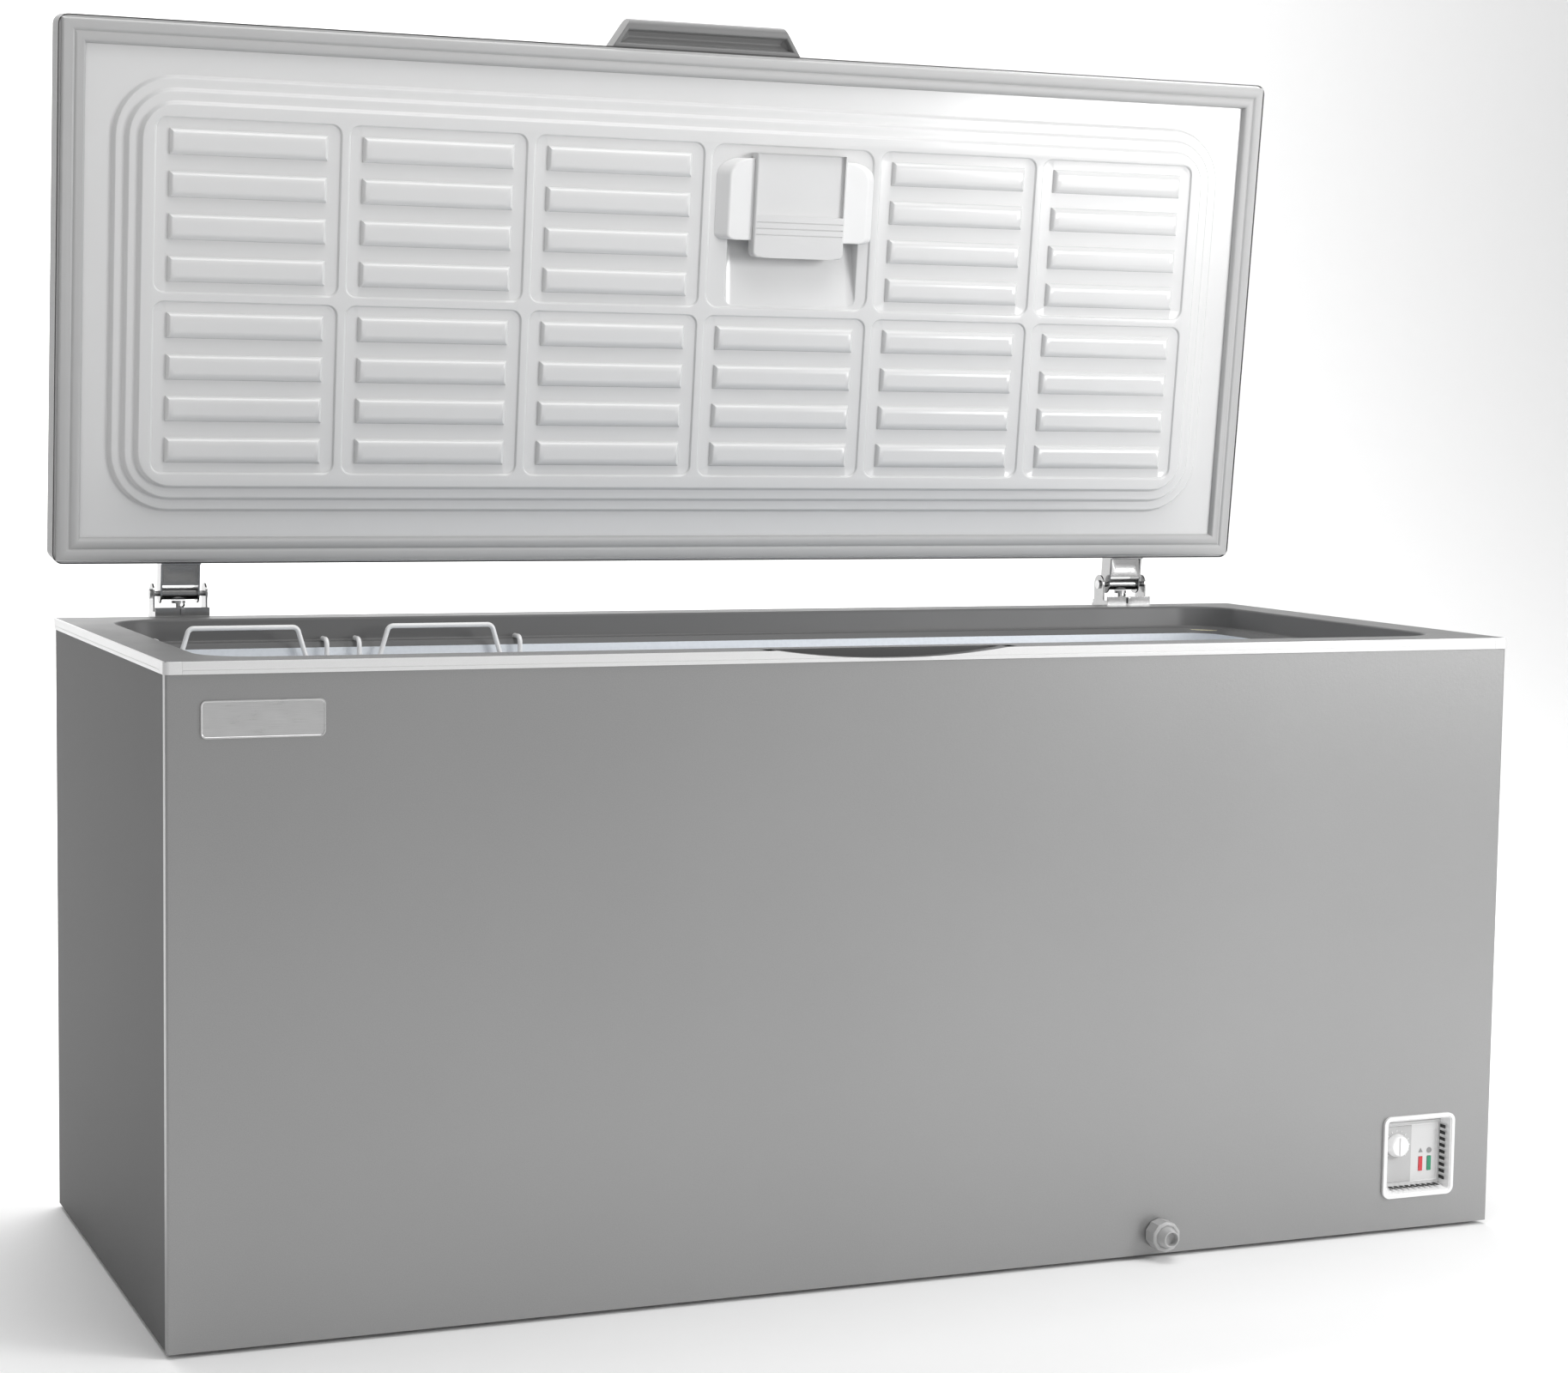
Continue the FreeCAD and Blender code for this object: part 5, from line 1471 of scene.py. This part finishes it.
@dataclass
class ControlPanel(SubAssembly):
    """White surround, printed fascia and vent slots of the controls."""

    corner: float = 11.0 * MM
    lip: float = 3.2 * MM
    ridge: float = 1.4 * MM
    vents: int = 9
    ticks: int = 13
    line: float = 1.2 * MM
    print_thick: float = 0.5 * MM
    print_soft: float = 0.1 * MM
    face_deep: float = 4.0 * MM
    face_edge: float = 1.2 * MM
    ridge_run: float = 0.8 * MM
    ridge_flat: float = 1.0 * MM
    sleeve_in: float = 3.4 * MM
    wall: float = 1.0 * MM
    soft: float = 0.4 * MM
    slot_front: float = 5.0 * MM
    slot_back: float = 1.0 * MM
    slot_sunk: float = 0.3 * MM
    slot_proud: float = 0.5 * MM
    slot_soft: float = 0.2 * MM
    split_shift: float = 2.0 * MM
    field_edge: float = 5.0 * MM
    dial_half: float = 135.0
    tick_ring: float = 4.0 * MM
    tick_in: float = 1.5 * MM
    tick_long: float = 3.0 * MM
    tick_radius: float = 0.6 * MM
    tick_proud: float = 0.2 * MM
    mark_radius: float = 4.0 * MM
    mark_line: float = 1.0 * MM
    mark_rise: float = 8.0 * MM

    def build(self) -> None:
        """Make the surround and everything printed on the fascia."""
        self.surround()
        self.vent_slots()
        self.fascia()

    def surround(self) -> None:
        """Surround with a raised ridge and a deep sleeve."""
        box = box_of("control_bezel")
        front = Box(box.low, Vector((box.high.x, box.low.y + self.face_deep, box.high.z)))
        piece = Workpiece.block("control_surround", front)
        piece.choose(Kind.EDGE, running(1)).bevel(self.corner, 6)
        piece.choose(Kind.FACE, facing(1, 1)).remove()
        piece.choose(Kind.FACE, facing(1, -1))
        room = box_of("control_fascia")
        frame_wide = (box.size.x - room.size.x) / 2
        piece.inset(self.face_edge).inset(self.lip)
        piece.inset(self.ridge_run, -self.ridge).inset(self.ridge_flat)
        piece.inset(frame_wide - self.lip - self.sleeve_in, -(room.low.y - box.low.y) + self.ridge)
        piece.remove()
        piece.thicken(self.wall).soften(self.soft, 2)
        piece.done("cabinet", "white_plastic", Palette.WHITE, "control_bezel")

    def vent_slots(self) -> None:
        """Dark slots along the right and lower walls of the recess."""
        room, bezel = box_of("control_fascia"), box_of("control_bezel")
        pitch = room.size.x / (self.vents + 1)
        front, back = bezel.low.y + self.slot_front, room.low.y - self.slot_back
        slots = []
        for i in range(1, self.vents + 1):
            side_z = room.low.z + i * pitch
            slots.append(Box(Vector((room.high.x - self.slot_proud, front, side_z - pitch / 4)),
                             Vector((room.high.x + self.slot_sunk, back, side_z + pitch / 4))))
            low_x = room.low.x + i * pitch
            slots.append(Box(Vector((low_x - pitch / 4, front, room.low.z - self.slot_sunk)),
                             Vector((low_x + pitch / 4, back, room.low.z + self.slot_proud))))
        pieces = [Workpiece.block("slot", slot).soften(self.slot_soft, 1) for slot in slots]
        piece = Workpiece.joined("vent_slots", pieces)
        piece.done("cabinet", "relay_plastic", Palette.DARK_SLOT)

    def printed(self, name: str, box: Box) -> Workpiece:
        """Thin raised area on the fascia."""
        return Workpiece.block(name, box).soften(self.print_soft, 1)

    def fascia(self) -> None:
        """Border line, grey field, tick ring and two generic marks on the fascia."""
        room, knob = box_of("control_fascia"), box_of("thermostat_knob")
        face, top = room.low.y, room.low.y - self.print_thick
        split = room.middle.x - self.split_shift
        low_x, low_z = room.low.x + self.field_edge, room.low.z + self.field_edge
        high_x, high_z = room.high.x - self.field_edge, room.high.z - self.field_edge
        grey_box = Box(Vector((low_x, top, low_z)), Vector((split, face, high_z)))
        grey = self.printed("fascia_field", grey_box)
        grey.done("cabinet", "fascia_grey", Palette.GREY_PANEL)
        lines = []
        for z in (low_z, high_z):
            lines.append(Box(Vector((low_x - self.line, top, z - self.line / 2)),
                             Vector((high_x + self.line, face, z + self.line / 2))))
        for x in (low_x - self.line / 2, high_x + self.line / 2):
            lines.append(Box(Vector((x - self.line / 2, top, low_z)),
                             Vector((x + self.line / 2, face, high_z))))
        border = [self.printed("line", line) for line in lines]
        radius = knob.size.x / 2 + self.tick_ring - self.tick_in
        centre = Vector((knob.middle.x, top - self.tick_proud, knob.middle.z))
        for i in range(self.ticks):
            angle = math.radians(self.dial_half * (2 * i / (self.ticks - 1) - 1))
            way = Vector((math.sin(angle), 0, math.cos(angle)))
            start = centre + way * radius
            border.append(Workpiece.rod("tick", self.tick_radius, start,
                                        start + way * self.tick_long, 8))
        marks = Workpiece.joined("fascia_lines", border)
        marks.done("cabinet", "white_plastic", Palette.WHITE)
        self.marks(top)

    def marks(self, top: float) -> None:
        """Plain triangle and ring above the two lamps.

        Args:
            top: Depth of the printed areas' front.
        """
        red, green = box_of("red_lamp"), box_of("green_lamp")
        pieces = []
        for lamp, sides in ((red, 3), (green, 16)):
            place = Vector((lamp.middle.x, top, red.high.z + self.mark_rise))
            back = place + Vector((0, self.print_thick, 0))
            piece = Workpiece.rod("mark", self.mark_radius, back, place, sides)
            piece.choose(Kind.FACE, facing(1, -1)).inset(self.mark_line)
            piece.extrude((0, self.print_thick * 0.8, 0))
            pieces.append(piece)
        joined = Workpiece.joined("fascia_marks", pieces)
        joined.done("cabinet", "fascia_grey", Palette.INK)


@dataclass
class Drain(SubAssembly):
    """Faceted cap with its tapered nozzle."""

    facets: int = 10
    nozzle: float = 11.0 * MM
    nozzle_long: float = 15.0 * MM
    nozzle_flare: float = 4.0 * MM
    nozzle_sunk: float = 2.0 * MM
    nozzle_soft: float = 0.8 * MM
    cap_soft: float = 0.7 * MM
    cap_face: Profile = ((2.5, 2.0), (2.0, 0.0), (1.5, -1.0))
    facet_inset: float = 1.2 * MM
    facet_sunk: float = 0.7 * MM
    bore: Profile = ((2.0, 0.0), (0.5, -9.0))

    def build(self) -> None:
        """Make the cap and the nozzle as one moulding."""
        box = box_of("drain_knob")
        middle = box.middle
        start = Vector((middle.x, box.high.y, middle.z))
        shoulder = Vector((middle.x, box.low.y + self.nozzle_long, middle.z))
        radius = box.size.x / 2
        cap = Workpiece.rod("drain_cap", radius, start, shoulder, self.facets)
        cap.choose(Kind.FACE, facing(1, -1)).steps(self.cap_face)
        cap.choose(Kind.FACE, lambda place, way: abs(way.y) < 0.3)
        cap.inset(self.facet_inset, -self.facet_sunk, each=True)
        cap.soften(self.cap_soft, 2)
        tip = Vector((middle.x, box.low.y, middle.z))
        foot = shoulder + Vector((0, self.nozzle_sunk, 0))
        nozzle = Workpiece.rod("nozzle", self.nozzle + self.nozzle_flare, foot, tip, 24, self.nozzle)
        nozzle.choose(Kind.FACE, facing(1, -1)).steps(self.bore)
        nozzle.soften(self.nozzle_soft, 2)
        piece = cap.take_in([nozzle])
        piece.done("spout_knob", "knob_grey", Palette.KNOB, "drain_knob")


@dataclass
class Hinges(SubAssembly):
    """Bright hinge channels and arms with softened edges, with a rib and a cross web on each side."""

    soft: float = 0.7 * MM
    rib_half: float = 3.0 * MM
    rib_out: float = 3.0 * MM
    rib_sunk: float = 0.5 * MM
    rib_ahead: float = 48.0 * MM
    rib_foot: float = 1.0 * MM
    rib_head: float = 11.0 * MM
    rib_soft: float = 1.0 * MM
    web_ahead: float = 16.0 * MM
    web_above: float = 12.0 * MM
    web_thick: float = 2.0 * MM
    web_margin: float = 1.0 * MM
    web_face: Profile = ((9.0, 0.0), (2.0, -0.8))
    web_soft: float = 0.5 * MM

    def build(self) -> None:
        """Refine both hinges."""
        for side in ("left", "right"):
            base = Workpiece.after(f"hinge_channel_{side}", f"hinge_base_{side}").soften(self.soft)
            base.done("cabinet", "zinc", Palette.CHROME, f"hinge_base_{side}")
            arm = Workpiece.after(f"hinge_link_{side}", f"hinge_arm_{side}").soften(self.soft)
            arm.done("lid", "zinc", Palette.CHROME, f"hinge_arm_{side}")
            self.rib(side)
            self.web(side)

    def web(self, side: str) -> None:
        """Cross plate between the two cheeks of the arm.

        Args:
            side: Name of the side.
        """
        arm = box_of(f"hinge_arm_{side}")
        pivot = Vector(joint_named("lid_hinge")["pos_m"])
        front = pivot.y - self.web_ahead
        low = Vector((arm.low.x + self.web_margin, front, pivot.z + self.web_above))
        high = Vector((arm.high.x - self.web_margin, front + self.web_thick,
                       arm.high.z - self.web_margin))
        piece = Workpiece.block(f"hinge_web_{side}", Box(low, high))
        piece.choose(Kind.FACE, facing(1, -1)).steps(self.web_face)
        piece.soften(self.web_soft, 2)
        piece.done("lid", "zinc", Palette.CHROME)

    def rib(self, side: str) -> None:
        """Upright rib on the channel's web.

        Args:
            side: Name of the side.
        """
        box = box_of(f"hinge_base_{side}")
        cover = box_of(f"hinge_cover_{side}")
        web = cover.low.y - self.rib_ahead
        low = Vector((box.middle.x - self.rib_half, web - self.rib_out, cover.high.z + self.rib_foot))
        high = Vector((box.middle.x + self.rib_half, web + self.rib_sunk,
                       cover.high.z + self.rib_head))
        piece = Workpiece.block(f"hinge_rib_{side}", Box(low, high)).soften(self.rib_soft, 3)
        piece.done("cabinet", "zinc", Palette.CHROME)


# ---------------------------------------------------------------------- studio


@dataclass(frozen=True)
class SoftBox:
    """Square soft light.

    Attributes:
        name: Name of the light.
        place: Where it hangs.
        aim: Point that it looks at.
        size: Length of a side.
        power: Power in watts.
    """

    name: str
    place: Place
    aim: Place
    size: float
    power: float

    def hang(self) -> None:
        """Add the light to the scene."""
        lamp = bpy.data.lights.new(self.name, "AREA")
        lamp.size = self.size
        lamp.energy = self.power
        item = bpy.data.objects.new(self.name, lamp)
        item.location = self.place
        way = Vector(self.aim) - Vector(self.place)
        item.rotation_euler = way.to_track_quat("-Z", "Y").to_euler()
        bpy.context.scene.collection.objects.link(item)


@dataclass
class Studio(SubAssembly):
    """Pale sweep, soft lights and the camera."""

    lights: tuple[SoftBox, ...] = (
        SoftBox("key", (2.5, -2.6, 1.7), (0.7, -0.3, 0.85), 1.3, 64.0),
        SoftBox("top", (0.4, -0.6, 4.6), (0.4, -0.2, 0.0), 3.0, 60.0),
        SoftBox("backdrop", (0.0, 2.6, 4.8), (0.2, 5.6, 1.0), 4.0, 330.0),
        SoftBox("floor", (1.0, -2.6, 5.0), (1.0, -2.4, 0.0), 3.0, 50.0),
    )
    sky_strength: float = 0.42
    camera_place: Place = (-1.639, -3.949, 1.125)
    camera_yaw: float = 22.59
    camera_pitch: float = -5.13
    camera_roll: float = 0.82
    camera_lens: float = 71.7
    sweep_half: float = 9.0
    sweep_back: float = 6.0
    sweep_tall: float = 7.0
    sweep_round: float = 2.5
    sweep_parts: int = 24

    def build(self) -> None:
        """Make the stage, the lights and the camera."""
        self.sweep()
        self.sky()
        for light in self.lights:
            light.hang()
        self.camera()

    def sweep(self) -> None:
        """Floor that curves up into a backdrop."""
        floor = Outline((-self.sweep_half, -self.sweep_half), (self.sweep_half, self.sweep_back),
                        0.0, 0.0)
        piece = Workpiece.plate("studio_sweep", floor)
        piece.choose(Kind.EDGE, lambda place, way: place.y > self.sweep_back - LOOSE)
        piece.extrude((0, 0, self.sweep_tall))
        piece.choose(Kind.EDGE, lambda place, way: (
            place.y > self.sweep_back - LOOSE and abs(place.z) < LOOSE))
        piece.bevel(self.sweep_round, self.sweep_parts)
        Workpiece.clear_bench()
        paper = Moulding("studio paper", tone(246), 0.9, grain=90.0, mottle=0.01)
        piece.item.data.materials.append(paper.material())
        for face in piece.item.data.polygons:
            face.use_smooth = True

    def sky(self) -> None:
        """Even white surround."""
        world = bpy.data.worlds.new("studio")
        world.use_nodes = True
        glow = world.node_tree.nodes["Background"]
        glow.inputs["Color"].default_value = (1.0, 1.0, 1.0, 1.0)
        glow.inputs["Strength"].default_value = self.sky_strength
        bpy.context.scene.world = world
        bpy.context.scene.view_settings.view_transform = "Standard"

    def camera(self) -> None:
        """Camera a little above the rim, left of the cabinet's front."""
        angles = (self.camera_yaw, self.camera_pitch, self.camera_roll)
        yaw, pitch, roll = (math.radians(angle) for angle in angles)
        ahead = Vector((math.sin(yaw) * math.cos(pitch), math.cos(yaw) * math.cos(pitch),
                        math.sin(pitch)))
        level = ahead.cross(Vector((0, 0, 1))).normalized()
        upright = level.cross(ahead)
        right = level * math.cos(roll) + upright * math.sin(roll)
        above = upright * math.cos(roll) - level * math.sin(roll)
        lens = bpy.data.cameras.new("camera")
        lens.sensor_width = 36.0
        lens.lens = self.camera_lens
        item = bpy.data.objects.new("camera", lens)
        turn = Matrix((right, above, -ahead)).transposed()
        item.matrix_world = Matrix.Translation(Vector(self.camera_place)) @ turn.to_4x4()
        bpy.context.scene.collection.objects.link(item)
        bpy.context.scene.camera = item


def main() -> None:
    """Build the freezer's looks round its frame."""
    pose = LidPose()
    assemblies: list[SubAssembly] = [
        Studio(), CarriedNodes(), Cabinet(), Collar(), LidFace(pose), LidShell(pose), Lamp(pose),
        Nameplate(), ControlPanel(), Drain(), Hinges(),
    ]
    for assembly in assemblies:
        log.info("building %s", type(assembly).__name__)
        assembly.build()
    Workpiece.clear_bench()


if __name__ == "__main__":
    main()
